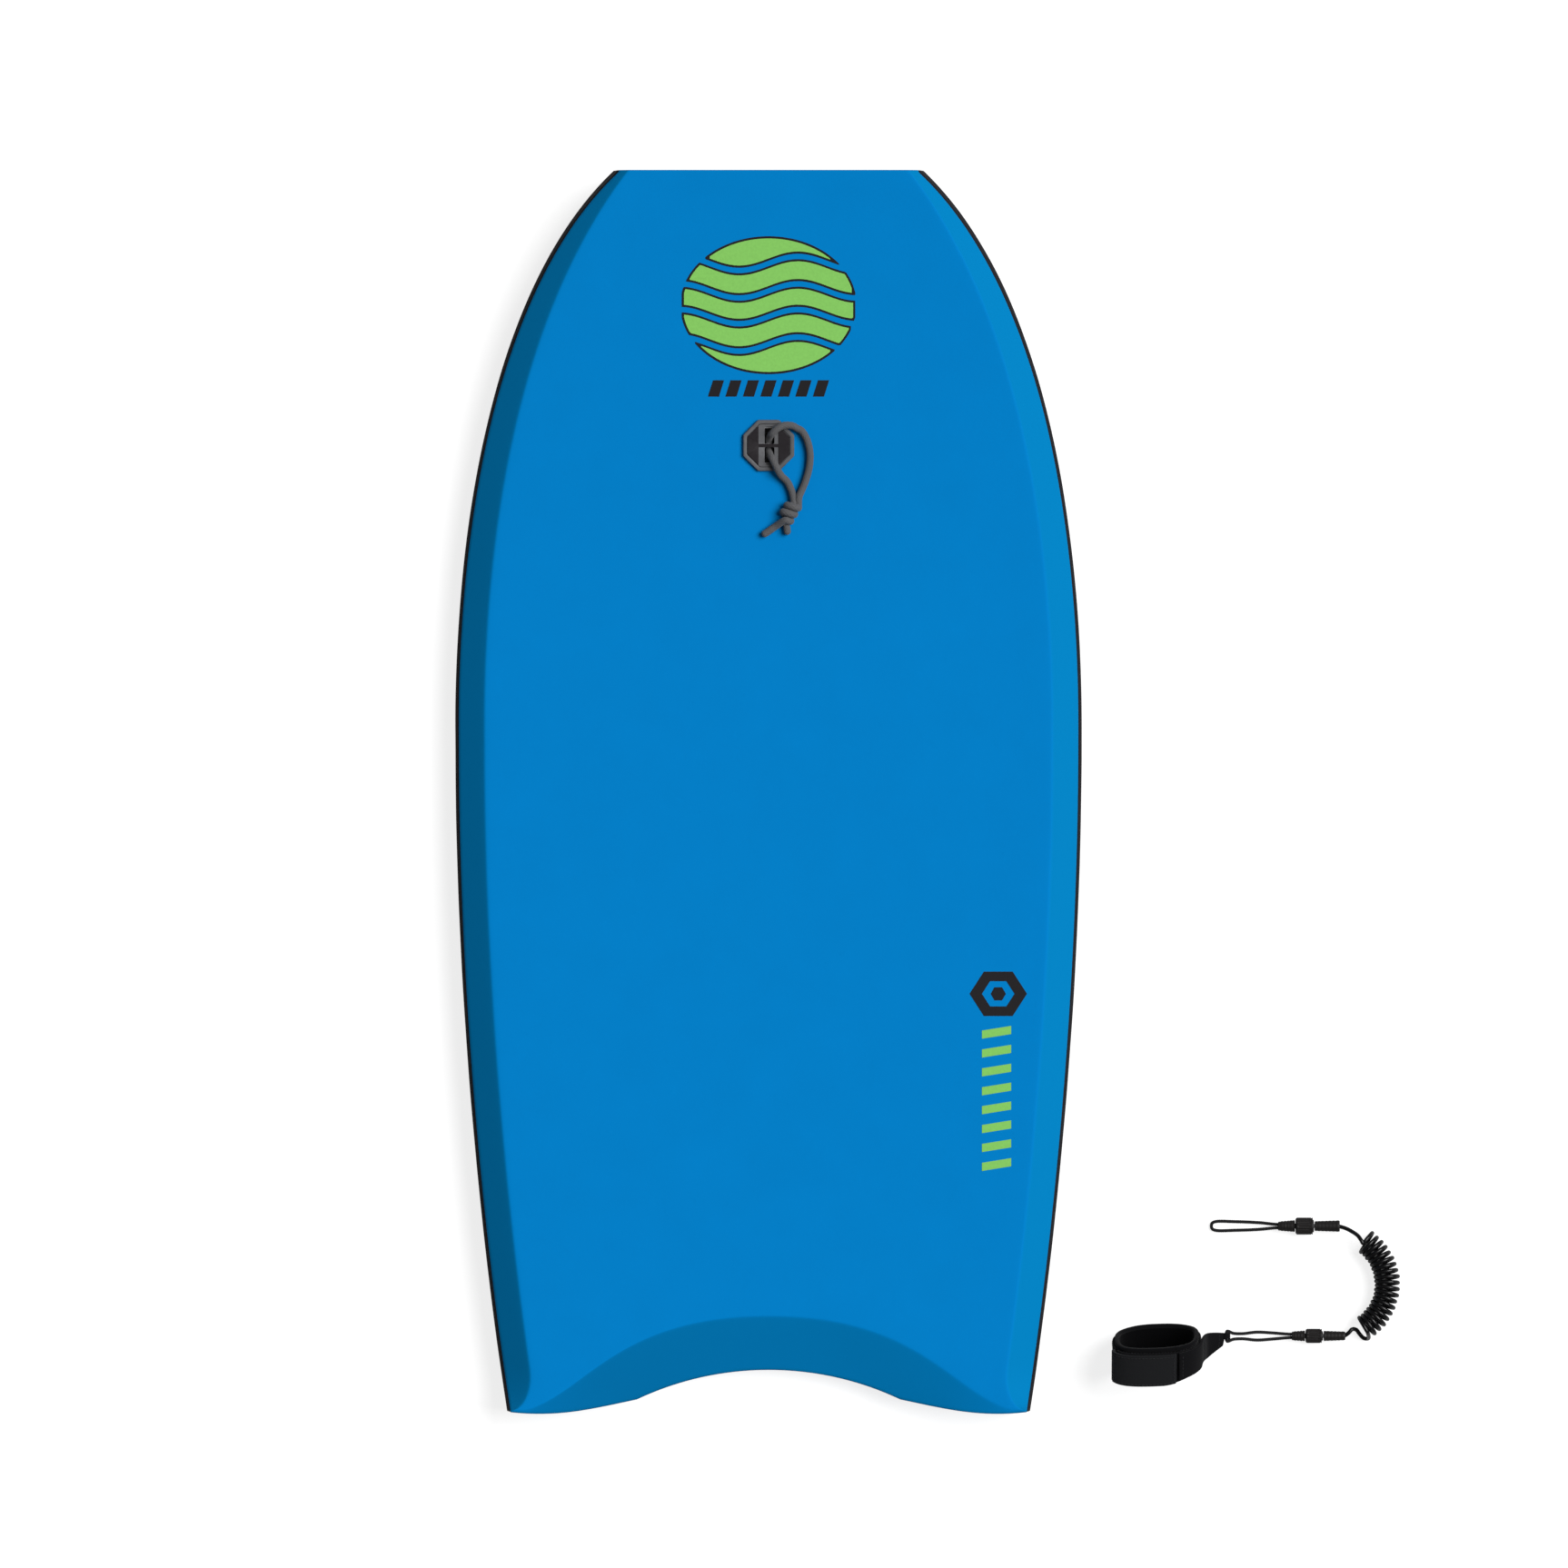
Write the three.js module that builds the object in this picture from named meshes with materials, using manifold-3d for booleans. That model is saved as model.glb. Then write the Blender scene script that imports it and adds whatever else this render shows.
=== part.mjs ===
// A 42 inch crescent-tail bodyboard with its leash plug, plug cord and coiled wrist leash.
// Millimetres. X is across the board, +Y points to the nose, and Z = 0 is the flat slick bottom.
// The origin is on the slick, on the centreline, at half of the board's length.

import * as THREE from "three";
import { mergeVertices } from "three/addons/utils/BufferGeometryUtils.js";
import Module from "manifold-3d";

const wasm = await Module();
wasm.setup();

const { clamp, degToRad, lerp } = THREE.MathUtils;

// ---------------------------------------------------------------- driving dimensions

const LENGTH = 1067;
const THICKNESS = 57;
const NOSE_Y = LENGTH / 2;
const NOSE_HALF = 133;
const WIDE_HALF = 269;
const WIDE_Y = 40;
const TAIL_HALF = 224.6;
const TAIL_CORNER_Y = -531;
const CRESCENT_Y = -495.7; // middle of the tail
const CRESCENT_RADIUS = 265;
const CRESCENT_HALF = 113; // where the arc ends and the tail tips begin
const BEVEL_Y = -449; // where the tail bevel starts, on the centreline
const BEVEL_SLOPE = 0.6;
const BEVEL_LEAST = 3;
const NOSE_LIFT = 24;
const ROCKER_START_Y = 130;

const RIM = 2.3; // how far the black rail stands out past the deck skin
const CHINE_WIDTH = 25.5;
const CHINE_SLOPE = 0.8;
const CHINE_NOSE_TAPER = 0.48;
const CHINE_NOSE_RUN = 45;
const CHINE_TAIL_RUN = 38;
const RAIL_EDGE_Z = 23; // the widest line: 60 % of the side is above it
const RAIL_WALL = 16;
const SLICK_INSET = 14;

const DECK_T = 5;
const SLICK_T = 1.8;
const BUMPER_T = 12;
const RAIL_END_Y = TAIL_CORNER_Y + 2;
const GAP = 0.4; // glue line between neighbouring pieces
const SIDE_GAP = 0.6;

const STRINGER_RADIUS = 5;
const STRINGER_WALL = 1.2;
const STRINGER_Z = 22;
const STRINGER_TAIL_Y = -470;
const STRINGER_NOSE_Y = 235;
const STRINGER_CAP_LENGTH = 10;

const PLUG_Y = 297.7;
const PLUG_FLATS = 44;
const PLUG_FLANGE_T = 3.2;
const PLUG_BARREL_RADIUS = 18;
const PLUG_WELL_RADIUS = 15.2;
const CORD_RADIUS = 3;
const INSERT_FLATS = 36;
const BAR_HALF = 1.6; // half of the bar that the cord goes round

const CUFF = new THREE.Vector3(333, -483.4, 36.2);
const CUFF_TILT = degToRad(22);
const CUFF_RX = 38; // outside of the strap
const CUFF_RY = 32.5;
const STRAP_HEIGHT = 30;
const PAD_HEIGHT = 36;
const STRING_RADIUS = 1.4;

const SWIVEL_A = { x: 468.4, y: -466.9, z: 6.6, radius: 6.2, half: 7 };
const SWIVEL_B = { x: 460.2, y: -372.5, z: 7.7, radius: 7.4, half: 7.4 };
const COIL_ARC_RADIUS = 45;
const COIL_ARC_CENTRE = new THREE.Vector2(486.6, -422.5);
const COIL_HALF_ANGLE = degToRad(58.3);
const COIL_RADIUS = 9.3;
const COIL_TURNS = 18;
const COIL_CORD_RADIUS = 1.7;

// ---------------------------------------------------------------- materials

function material(color, roughness, metalness = 0) {
  return new THREE.MeshStandardMaterial({ color, roughness, metalness });
}

const FOAM_BLUE = material(0x017dc5, 0.75);
const FOAM_BLACK = material(0x141316, 0.8);
const FOAM_WHITE = material(0xf1f0ea, 0.9);
const SLICK_BLACK = material(0x1b1b1f, 0.25);
const CARBON = material(0x202124, 0.4);
const PLUG_GREY = material(0x595a5e, 0.5);
const PLUG_BLACK = material(0x1c1a1e, 0.45);
const CORD_GREY = material(0x58595b, 0.9);
const NEOPRENE = material(0x0d0d0f, 0.95);
const WEBBING = material(0x1a1a1c, 0.85);
const HOOK_AND_LOOP = material(0x111113, 1);
const STRING_BLACK = material(0x0f0f11, 0.85);
const RUBBER_BLACK = material(0x1d1b1b, 0.6);
const URETHANE = material(0x07070a, 0.2);
const STEEL = material(0xb9bcc0, 0.3, 1);

// ---------------------------------------------------------------- geometry helpers

const board = new THREE.Group();

function addMesh(parent, name, geometry, finish) {
  const mesh = new THREE.Mesh(geometry, finish);
  mesh.name = name;
  parent.add(mesh);
  return mesh;
}

// A box of nx by ny by 1 cells whose corners (i, j, k) are moved to place(i, j, k).
function warpBox(nx, ny, place) {
  const geometry = new THREE.BoxGeometry(1, 1, 1, nx, ny, 1);
  const position = geometry.getAttribute("position");
  for (let n = 0; n < position.count; n++) {
    const i = Math.round((position.getX(n) + 0.5) * nx);
    const j = Math.round((position.getY(n) + 0.5) * ny);
    const k = Math.round(position.getZ(n) + 0.5);
    position.setXYZ(n, ...place(i, j, k));
  }
  return geometry;
}

function toSolid(geometry) {
  const bare = geometry.clone();
  bare.deleteAttribute("normal");
  bare.deleteAttribute("uv");
  const merged = mergeVertices(bare, 1e-3);
  const mesh = new wasm.Mesh({
    numProp: 3,
    vertProperties: new Float32Array(merged.getAttribute("position").array),
    triVerts: new Uint32Array(merged.index.array),
  });
  return new wasm.Manifold(mesh);
}

function toGeometry(solid) {
  const mesh = solid.getMesh();
  const geometry = new THREE.BufferGeometry();
  geometry.setAttribute("position", new THREE.BufferAttribute(mesh.vertProperties, 3));
  geometry.setIndex(new THREE.BufferAttribute(mesh.triVerts, 1));
  return geometry;
}

function cut(geometry, ...cutters) {
  return toGeometry(cutters.reduce((solid, c) => solid.subtract(toSolid(c)), toSolid(geometry)));
}

function join(geometry, ...others) {
  return toGeometry(others.reduce((solid, o) => solid.add(toSolid(o)), toSolid(geometry)));
}

// A round bar between two points.
function rod(from, to, radius, sides = 16) {
  const way = new THREE.Vector3().subVectors(to, from);
  const geometry = new THREE.CylinderGeometry(radius, radius, way.length(), sides);
  const up = new THREE.Vector3(0, 1, 0);
  geometry.applyQuaternion(new THREE.Quaternion().setFromUnitVectors(up, way.clone().normalize()));
  const middle = new THREE.Vector3().addVectors(from, to).multiplyScalar(0.5);
  return geometry.translate(middle.x, middle.y, middle.z);
}

// A body of revolution about local Y from a closed [radius, along] profile.
function lathe(profile, segments = 16) {
  const points = [...profile, profile[0]].map(([radius, along]) => new THREE.Vector2(radius, along));
  return new THREE.LatheGeometry(points, segments);
}

// A cord along a smooth curve through the points.
function cord(points, radius, steps, sides = 6) {
  const path = new THREE.CatmullRomCurve3(points, false, "centripetal");
  path.arcLengthDivisions = steps * 12;
  const section = new THREE.Shape();
  for (let n = 0; n < sides; n++) {
    const angle = (2 * Math.PI * n) / sides;
    const corner = [radius * Math.cos(angle), radius * Math.sin(angle)];
    if (n === 0) section.moveTo(...corner);
    else section.lineTo(...corner);
  }
  return new THREE.ExtrudeGeometry(section, { steps, extrudePath: path, bevelEnabled: false });
}

function regularOctagon(flats) {
  const corner = flats / 2 / Math.cos(Math.PI / 8);
  const shape = new THREE.Shape();
  for (let n = 0; n < 8; n++) {
    const angle = Math.PI / 8 + (Math.PI / 4) * n;
    const point = [corner * Math.cos(angle), corner * Math.sin(angle)];
    if (n === 0) shape.moveTo(...point);
    else shape.lineTo(...point);
  }
  return shape;
}

// ---------------------------------------------------------------- the board's plan shape

const NOSE_SIDE = new THREE.CubicBezierCurve(
  new THREE.Vector2(WIDE_HALF, WIDE_Y),
  new THREE.Vector2(269, 70),
  new THREE.Vector2(277.6, 396.8),
  new THREE.Vector2(NOSE_HALF, NOSE_Y),
);
const TAIL_SIDE = new THREE.CubicBezierCurve(
  new THREE.Vector2(TAIL_HALF, TAIL_CORNER_Y),
  new THREE.Vector2(246, -395.6),
  new THREE.Vector2(269, -174.5),
  new THREE.Vector2(WIDE_HALF, WIDE_Y),
);
const TAIL_TIP = new THREE.CubicBezierCurve(
  new THREE.Vector2(CRESCENT_HALF, -521),
  new THREE.Vector2(150, -528.5),
  new THREE.Vector2(180, -536.6),
  new THREE.Vector2(TAIL_HALF, TAIL_CORNER_Y),
);
const BEVEL_TOP = new THREE.CubicBezierCurve(
  new THREE.Vector2(0, BEVEL_Y),
  new THREE.Vector2(134.7, BEVEL_Y),
  new THREE.Vector2(157, -518),
  new THREE.Vector2(214, -531.5),
);

// The point of a curve where its key coordinate, which rises along it, has this value.
function pointWhere(curve, key, value) {
  let low = 0;
  let high = 1;
  for (let n = 0; n < 40; n++) {
    const middle = (low + high) / 2;
    if (curve.getPoint(middle)[key] < value) low = middle;
    else high = middle;
  }
  return curve.getPoint(low);
}

function halfWidth(y) {
  return pointWhere(y > WIDE_Y ? NOSE_SIDE : TAIL_SIDE, "y", y).x;
}

function tailY(x) {
  const side = Math.abs(x);
  if (side > CRESCENT_HALF) return pointWhere(TAIL_TIP, "x", side).y;
  return CRESCENT_Y - CRESCENT_RADIUS + Math.sqrt(CRESCENT_RADIUS ** 2 - side ** 2);
}

function bevelY(x) {
  const top = pointWhere(BEVEL_TOP, "x", Math.abs(x)).y;
  return Math.max(top, tailY(x) + BEVEL_LEAST);
}

// How far in from the widest line the flat deck starts, at each station.
function chineInset(y) {
  const nose = 1 - CHINE_NOSE_TAPER * Math.exp((y - NOSE_Y) / CHINE_NOSE_RUN);
  const fromTail = clamp((y - TAIL_CORNER_Y) / CHINE_TAIL_RUN, 0, 1);
  const tail = Math.sqrt(1 - (1 - fromTail) ** 2);
  return Math.max(RIM + 2.5, CHINE_WIDTH * nose * tail);
}

function rocker(y) {
  const along = Math.max(0, (y - ROCKER_START_Y) / (NOSE_Y - ROCKER_START_Y));
  return NOSE_LIFT * along ** 2;
}

function deckTop(x, y) {
  const inset = chineInset(y);
  const overChine = clamp(Math.abs(x) - (halfWidth(y) - inset), 0, inset - RIM);
  const overBevel = clamp(bevelY(x) - y, 0, bevelY(x) - tailY(x));
  return THICKNESS + rocker(y) - Math.max(CHINE_SLOPE * overChine, BEVEL_SLOPE * overBevel);
}

// ---------------------------------------------------------------- the board's layers

const ROWS = 17;
const INNER_COLUMNS = [0, 0.2, 0.4, 0.58, 0.75, 0.87, 0.95, 1];
const COLUMNS = [...INNER_COLUMNS.slice(1).reverse().map((f) => -f), ...INNER_COLUMNS];

// Rows bunch up towards both ends, where the outline turns fastest.
function rowShare(row) {
  return (1 - Math.cos((Math.PI * row) / ROWS)) / 2;
}

// x and y of a grid corner of a layer. The outermost columns lie at edge(y), the next ones at the
// chine's crease, row 0 on the tail line moved forward by start, and row 1 at the bevel's crease.
// All layers share their stations along the board, so that their facets stay parallel.
function layerPoint(column, row, edge, start = 0, noseY = NOSE_Y) {
  let x = 0;
  let y = CRESCENT_Y;
  for (let pass = 0; pass < 12; pass++) {
    const last = COLUMNS.length + 1;
    const side = column === 0 ? -1 : 1;
    if (column === 0 || column === last) x = side * edge(y);
    else x = COLUMNS[column - 1] * Math.min(halfWidth(y) - chineInset(y), edge(y) - 1);
    const tail = tailY(x) + start;
    const station = row === 0 ? tail : lerp(bevelY(x), NOSE_Y, rowShare(row - 1));
    y = clamp(station, tail + 1.5 * row, noseY - 1.5 * (ROWS + 1 - row));
  }
  return [x, y];
}

function layer({ edge, start, noseY, bottom, top }) {
  return warpBox(COLUMNS.length + 1, ROWS + 1, (column, row, level) => {
    const [x, y] = layerPoint(column, row, edge, start, noseY);
    return [x, y, level ? top(x, y) : bottom(x, y)];
  });
}

const deckEdge = (y) => halfWidth(y) - RIM;
const coreEdge = (y) => halfWidth(y) - RAIL_WALL - SIDE_GAP;
const coreTop = (x, y) => deckTop(x, y) - DECK_T - SIDE_GAP;
const coreBottom = (x, y) => rocker(y) + SLICK_T + GAP;
const coreNoseY = NOSE_Y - BUMPER_T - SIDE_GAP;

const plugSlope = Math.atan((2 * NOSE_LIFT * (PLUG_Y - ROCKER_START_Y)) / (NOSE_Y - ROCKER_START_Y) ** 2);
const plugTop = new THREE.Vector3(0, PLUG_Y, THICKNESS + rocker(PLUG_Y));

function plugHole() {
  const up = new THREE.Vector3(0, -Math.sin(plugSlope), Math.cos(plugSlope));
  const above = plugTop.clone().addScaledVector(up, 20);
  const below = plugTop.clone().addScaledVector(up, -THICKNESS - 20);
  return rod(below, above, PLUG_BARREL_RADIUS + GAP, 24);
}

function stringerChannel() {
  const open = new THREE.Vector3(0, STRINGER_TAIL_Y - 60, STRINGER_Z);
  const end = new THREE.Vector3(0, STRINGER_NOSE_Y + GAP, STRINGER_Z);
  return rod(open, end, STRINGER_RADIUS + GAP, 12);
}

function buildLayers() {
  const deck = layer({
    edge: deckEdge,
    bottom: (x, y) => deckTop(x, y) - DECK_T,
    top: deckTop,
  });
  const core = layer({
    edge: coreEdge,
    start: BUMPER_T + SIDE_GAP,
    noseY: coreNoseY,
    bottom: coreBottom,
    top: coreTop,
  });
  const slick = layer({
    edge: (y) => halfWidth(y) - SLICK_INSET,
    bottom: (x, y) => rocker(y),
    top: (x, y) => rocker(y) + SLICK_T,
  });
  addMesh(board, "deck_skin", cut(deck, plugHole()), FOAM_BLUE);
  addMesh(board, "foam_core", cut(core, plugHole(), stringerChannel()), FOAM_WHITE);
  addMesh(board, "slick_skin", cut(slick, plugHole()), SLICK_BLACK);
}

// ---------------------------------------------------------------- rails and bumpers

// A strip along one side of the board: corners(y) gives its section's [inset, z] corners in the
// order inner bottom, outer bottom, inner top, outer top.
function railStrip(side, corners) {
  return warpBox(1, ROWS, (outer, row, upper) => {
    const y = Math.max(RAIL_END_Y, layerPoint(0, row + 1, deckEdge)[1]);
    const across = side > 0 ? outer : 1 - outer;
    const [inset, z] = corners(y)[2 * upper + across];
    return [side * (halfWidth(y) - inset), y, z];
  });
}

function upperRailCorners(y) {
  const edge = rocker(y) + RAIL_EDGE_Z + GAP / 2;
  const under = (inset) => deckTop(halfWidth(y) - inset, y) - DECK_T - SIDE_GAP;
  return [
    [RAIL_WALL, edge],
    [0, edge],
    [RAIL_WALL, under(RAIL_WALL)],
    [RIM, under(RIM)],
  ];
}

function lowerRailCorners(y) {
  const foot = rocker(y) + SLICK_T + GAP;
  const edge = rocker(y) + RAIL_EDGE_Z - GAP / 2;
  return [
    [RAIL_WALL, foot],
    [SLICK_INSET * (1 - (SLICK_T + GAP) / RAIL_EDGE_Z), foot],
    [RAIL_WALL, edge],
    [0, edge],
  ];
}

function buildRails() {
  for (const [side, word] of [[-1, "left"], [1, "right"]]) {
    addMesh(board, `rail_upper_${word}`, railStrip(side, upperRailCorners), FOAM_BLACK);
    addMesh(board, `rail_lower_${word}`, railStrip(side, lowerRailCorners), FOAM_BLACK);
  }
}

function buildBumpers() {
  const nose = warpBox(6, 1, (column, row, level) => {
    const y = NOSE_Y - BUMPER_T * (1 - row);
    const x = lerp(-1, 1, column / 6) * coreEdge(y);
    return [x, y, level ? coreTop(x, y) : coreBottom(x, y)];
  });
  addMesh(board, "nose_bumper", nose, FOAM_BLUE);
  const last = COLUMNS.length - 1;
  const tail = warpBox(last, 1, (column, row, level) => {
    const end = coreEdge(TAIL_CORNER_Y);
    const x = clamp(layerPoint(column + 1, 0, deckEdge)[0], -end, end);
    const y = tailY(x) + BUMPER_T * row;
    return [x, y, level ? coreTop(x, y) : coreBottom(x, y)];
  });
  addMesh(board, "tail_bumper", tail, FOAM_BLUE);
}

function buildStringer() {
  const along = new THREE.Group();
  along.position.set(0, 0, STRINGER_Z);
  board.add(along);
  const inner = STRINGER_RADIUS - STRINGER_WALL;
  const tube = lathe([
    [inner, STRINGER_TAIL_Y],
    [STRINGER_RADIUS, STRINGER_TAIL_Y],
    [STRINGER_RADIUS, STRINGER_NOSE_Y - 2],
    [inner, STRINGER_NOSE_Y - 2],
  ], 12);
  addMesh(along, "stringer_tube", tube, CARBON);
  for (const [word, end, way] of [["tail", STRINGER_TAIL_Y, 1], ["nose", STRINGER_NOSE_Y - 2, -1]]) {
    const plug = new THREE.CylinderGeometry(inner - GAP, inner - GAP, STRINGER_CAP_LENGTH, 12);
    const head = new THREE.CylinderGeometry(STRINGER_RADIUS, STRINGER_RADIUS, 1.5, 12);
    plug.translate(0, end + (way * STRINGER_CAP_LENGTH) / 2 - way, 0);
    head.translate(0, end - way * (0.75 + GAP), 0);
    addMesh(along, `stringer_cap_${word}`, join(head, plug), RUBBER_BLACK);
  }
}

// ---------------------------------------------------------------- leash plug and its cord

// The plug's own frame: Z along its axis, Z = 0 on the deck's surface.
function buildPlug() {
  const plug = new THREE.Group();
  plug.position.copy(plugTop);
  plug.rotation.x = plugSlope;
  board.add(plug);

  const upright = Math.PI / 2;
  const flange = new THREE.ExtrudeGeometry(regularOctagon(PLUG_FLATS - 2), {
    depth: PLUG_FLANGE_T - 2,
    bevelThickness: 1,
    bevelSize: 1,
    bevelSegments: 1,
  }).translate(0, 0, 1 + GAP);
  const barrel = new THREE.CylinderGeometry(PLUG_BARREL_RADIUS, PLUG_BARREL_RADIUS, 30, 24);
  barrel.rotateX(upright).translate(0, 0, -15 + GAP + 1);
  const well = new THREE.CylinderGeometry(PLUG_WELL_RADIUS, PLUG_WELL_RADIUS, 20, 24);
  well.rotateX(upright).translate(0, 0, -4);
  const socket = new THREE.CylinderGeometry(13, 13, 20, 24).rotateX(upright).translate(0, 0, -26.6);
  const seat = new THREE.ExtrudeGeometry(regularOctagon(INSERT_FLATS + 2 * GAP), {
    depth: 5,
    bevelEnabled: false,
  }).translate(0, 0, GAP + 1.6);
  addMesh(plug, "plug_ring", cut(join(flange, barrel), well, socket, seat), PLUG_GREY);

  const face = regularOctagon(INSERT_FLATS);
  for (const side of [-1, 1]) {
    const opening = new THREE.Path();
    const start = side > 0 ? 0 : Math.PI;
    opening.absellipse(0, side * BAR_HALF, 8.5, 13.2, start, start + Math.PI);
    face.holes.push(opening);
  }
  const insert = new THREE.ExtrudeGeometry(face, { depth: 1.4, curveSegments: 8, bevelEnabled: false });
  insert.translate(0, 0, 2 * GAP + 1.6);
  addMesh(plug, "plug_insert", insert, PLUG_BLACK);

  const under = -THICKNESS - GAP;
  const base = lathe([
    [0, under - 2.6],
    [22.5, under - 2.2],
    [23.5, under - 1.2],
    [23.5, under],
    [PLUG_BARREL_RADIUS - 0.2, under],
    [PLUG_BARREL_RADIUS - 0.2, -29.4],
    [12.5, -29.4],
    [12.5, -17.4],
    [0, -17.4],
  ], 24).rotateX(upright);
  addMesh(plug, "plug_base", base, PLUG_GREY);
  buildPlugCord(plug);
}

// One cord, threaded under the bar between the insert's two openings and knotted beside it. It is
// cut in two on the line where it folds up off the deck: the loop ends in balls on that line.
const FOLD_FROM = new THREE.Vector3(12, -27, 4.4);
const FOLD_TO = new THREE.Vector3(28, 13, 4.4);

function points(...list) {
  return list.map(([x, y, z]) => new THREE.Vector3(x, y, z));
}

function buildPlugCord(plug) {
  const bight = points(
    [25, 14.6, 4.6],
    [20, 17.2, 6.2],
    [13, 17.3, 7.6],
    [7.8, 14.8, 8],
    [3.2, 10.5, 6.8],
    [1.2, 7.6, 1.5],
    [0.5, 3.5, -4],
    [0.5, -3.5, -4],
    [1.2, -7.6, 1.5],
    [3, -10.8, 6.8],
    [5.6, -16, 8],
    [8, -21, 7.6],
    [9.8, -24.3, 5.8],
  );
  addMesh(plug, "plug_cord_bight", cord(bight, CORD_RADIUS, 26, 8), CORD_GREY);

  const lay = CORD_RADIUS + 0.7; // height of a cord that lies on the deck near the plug
  const far = CORD_RADIUS + 1.5; // and further off, where the deck has curved up
  const upper = points(
    [28, 13, 4.4],
    [32.5, 7, lay],
    [35.6, -6, lay],
    [34.6, -19, lay],
    [31, -31, lay],
    [27, -41, lay],
    [23.5, -50, lay + 0.6],
  );
  const lower = points(
    [12, -27, 4.4],
    [17.5, -33, lay],
    [19.6, -41, lay],
    [20.4, -50, lay + 0.6],
  );
  const longTail = points([15, -63, far], [8, -69, far], [1.8, -74, far], [-4.5, -77.5, far]);
  const shortTail = points([16, -62, far], [16.3, -69, far], [16.2, -76, far]);
  const knot = new THREE.SphereGeometry(1, 10, 7);
  knot.scale(8, 13.5, 4.6).rotateZ(degToRad(-20)).translate(18.6, -56.5, 5.7);
  const ends = [FOLD_FROM, FOLD_TO].map((p) => {
    return new THREE.SphereGeometry(CORD_RADIUS, 8, 6).translate(p.x, p.y, p.z);
  });
  const strands = [upper, lower].map((p) => cord(p, CORD_RADIUS, 8, 7));
  const tails = [longTail, shortTail].map((p) => cord(p, CORD_RADIUS, 4, 7));
  addMesh(plug, "plug_cord_loop", join(knot, ...strands, ...tails, ...ends), CORD_GREY);
}

// ---------------------------------------------------------------- wrist cuff

// The cuff's own frame: Z along the wrist, towards the tail, X to the right, Y up and out of the
// front of the cuff. Angles are measured from X.
const ARC_STEP = 6;

function arcBand(from, to, inside, outside, height) {
  const steps = Math.round((to - from) / ARC_STEP);
  return warpBox(steps, 1, (i, j, k) => {
    const angle = degToRad(lerp(from, to, i / steps));
    const off = k ? outside : inside;
    const across = (j - 0.5) * height;
    return [(CUFF_RX + off) * Math.cos(angle), (CUFF_RY + off) * Math.sin(angle), across];
  });
}

function buildCuff() {
  const cuff = new THREE.Group();
  cuff.position.copy(CUFF);
  cuff.rotation.x = Math.PI / 2 + CUFF_TILT;
  board.add(cuff);
  addMesh(cuff, "cuff_pad", arcBand(102, 456, -5.6, -2.2, PAD_HEIGHT), NEOPRENE);
  addMesh(cuff, "cuff_strap", arcBand(156, 510, -1.8, 0, STRAP_HEIGHT), WEBBING);
  addMesh(cuff, "cuff_loop_patch", arcBand(66, 144, 0.3, 1.1, STRAP_HEIGHT - 3), HOOK_AND_LOOP);
  addMesh(cuff, "cuff_hook_patch", arcBand(72, 102, 1.4, 2.2, STRAP_HEIGHT - 4), HOOK_AND_LOOP);
  addMesh(cuff, "cuff_flap", arcBand(66, 150, 2.5, 4.1, STRAP_HEIGHT), WEBBING);
}

const TONGUE_EYE = new THREE.Vector3(393, -467, 24);

// The webbing tab on the right of the cuff, narrowing to a sewn eye for the string.
function buildTongue() {
  const root = new THREE.Vector3(CUFF.x + CUFF_RX + 0.5, -479, CUFF.z - 0.5);
  const tip = TONGUE_EYE.clone().add(new THREE.Vector3(-1, 0, 0.4));
  const wide = new THREE.Vector3(0, Math.cos(CUFF_TILT), Math.sin(CUFF_TILT)).multiplyScalar(13);
  const narrow = new THREE.Vector3(0, 4.5, 0);
  const plate = warpBox(3, 1, (i, j, k) => {
    const share = i / 3;
    const centre = root.clone().lerp(tip, share);
    const half = wide.clone().lerp(narrow, share);
    const way = new THREE.Vector3().subVectors(tip, root);
    const normal = new THREE.Vector3().crossVectors(way, half).normalize();
    centre.addScaledVector(half, 2 * j - 1).addScaledVector(normal, 1.2 * (2 * k - 1));
    return centre.toArray();
  });
  const reach = new THREE.Vector3(0, 4.5, 0);
  const bore = new THREE.Vector3(0, 20, 0);
  const roll = rod(TONGUE_EYE.clone().sub(reach), TONGUE_EYE.clone().add(reach), 3.4, 12);
  const hole = rod(TONGUE_EYE.clone().sub(bore), TONGUE_EYE.clone().add(bore), 2.3, 10);
  addMesh(board, "cuff_tongue", cut(join(plate, roll), hole), WEBBING);
}

function buildCuffString() {
  const { x, y, z, half } = SWIVEL_A;
  const end = x - half - 6;
  const strand = (side) => points(
    [end, y + side * 1.5, z],
    [end - 8, y + side * 1.5, z],
    [end - 22, y + side * 3, z + 3.2],
    [end - 36, y + side * 3.4, z + 8.5],
    [TONGUE_EYE.x + 6, y + side * 6.2, TONGUE_EYE.z - 2],
    [TONGUE_EYE.x + 0.6, TONGUE_EYE.y + side * 6.4, TONGUE_EYE.z],
    [TONGUE_EYE.x, TONGUE_EYE.y + side * 2.5, TONGUE_EYE.z],
  );
  const path = [...strand(1), ...strand(-1).reverse()];
  addMesh(board, "cuff_string", cord(path, STRING_RADIUS, 44), STRING_BLACK);
}

// ---------------------------------------------------------------- swivels, board loop and coil

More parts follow.
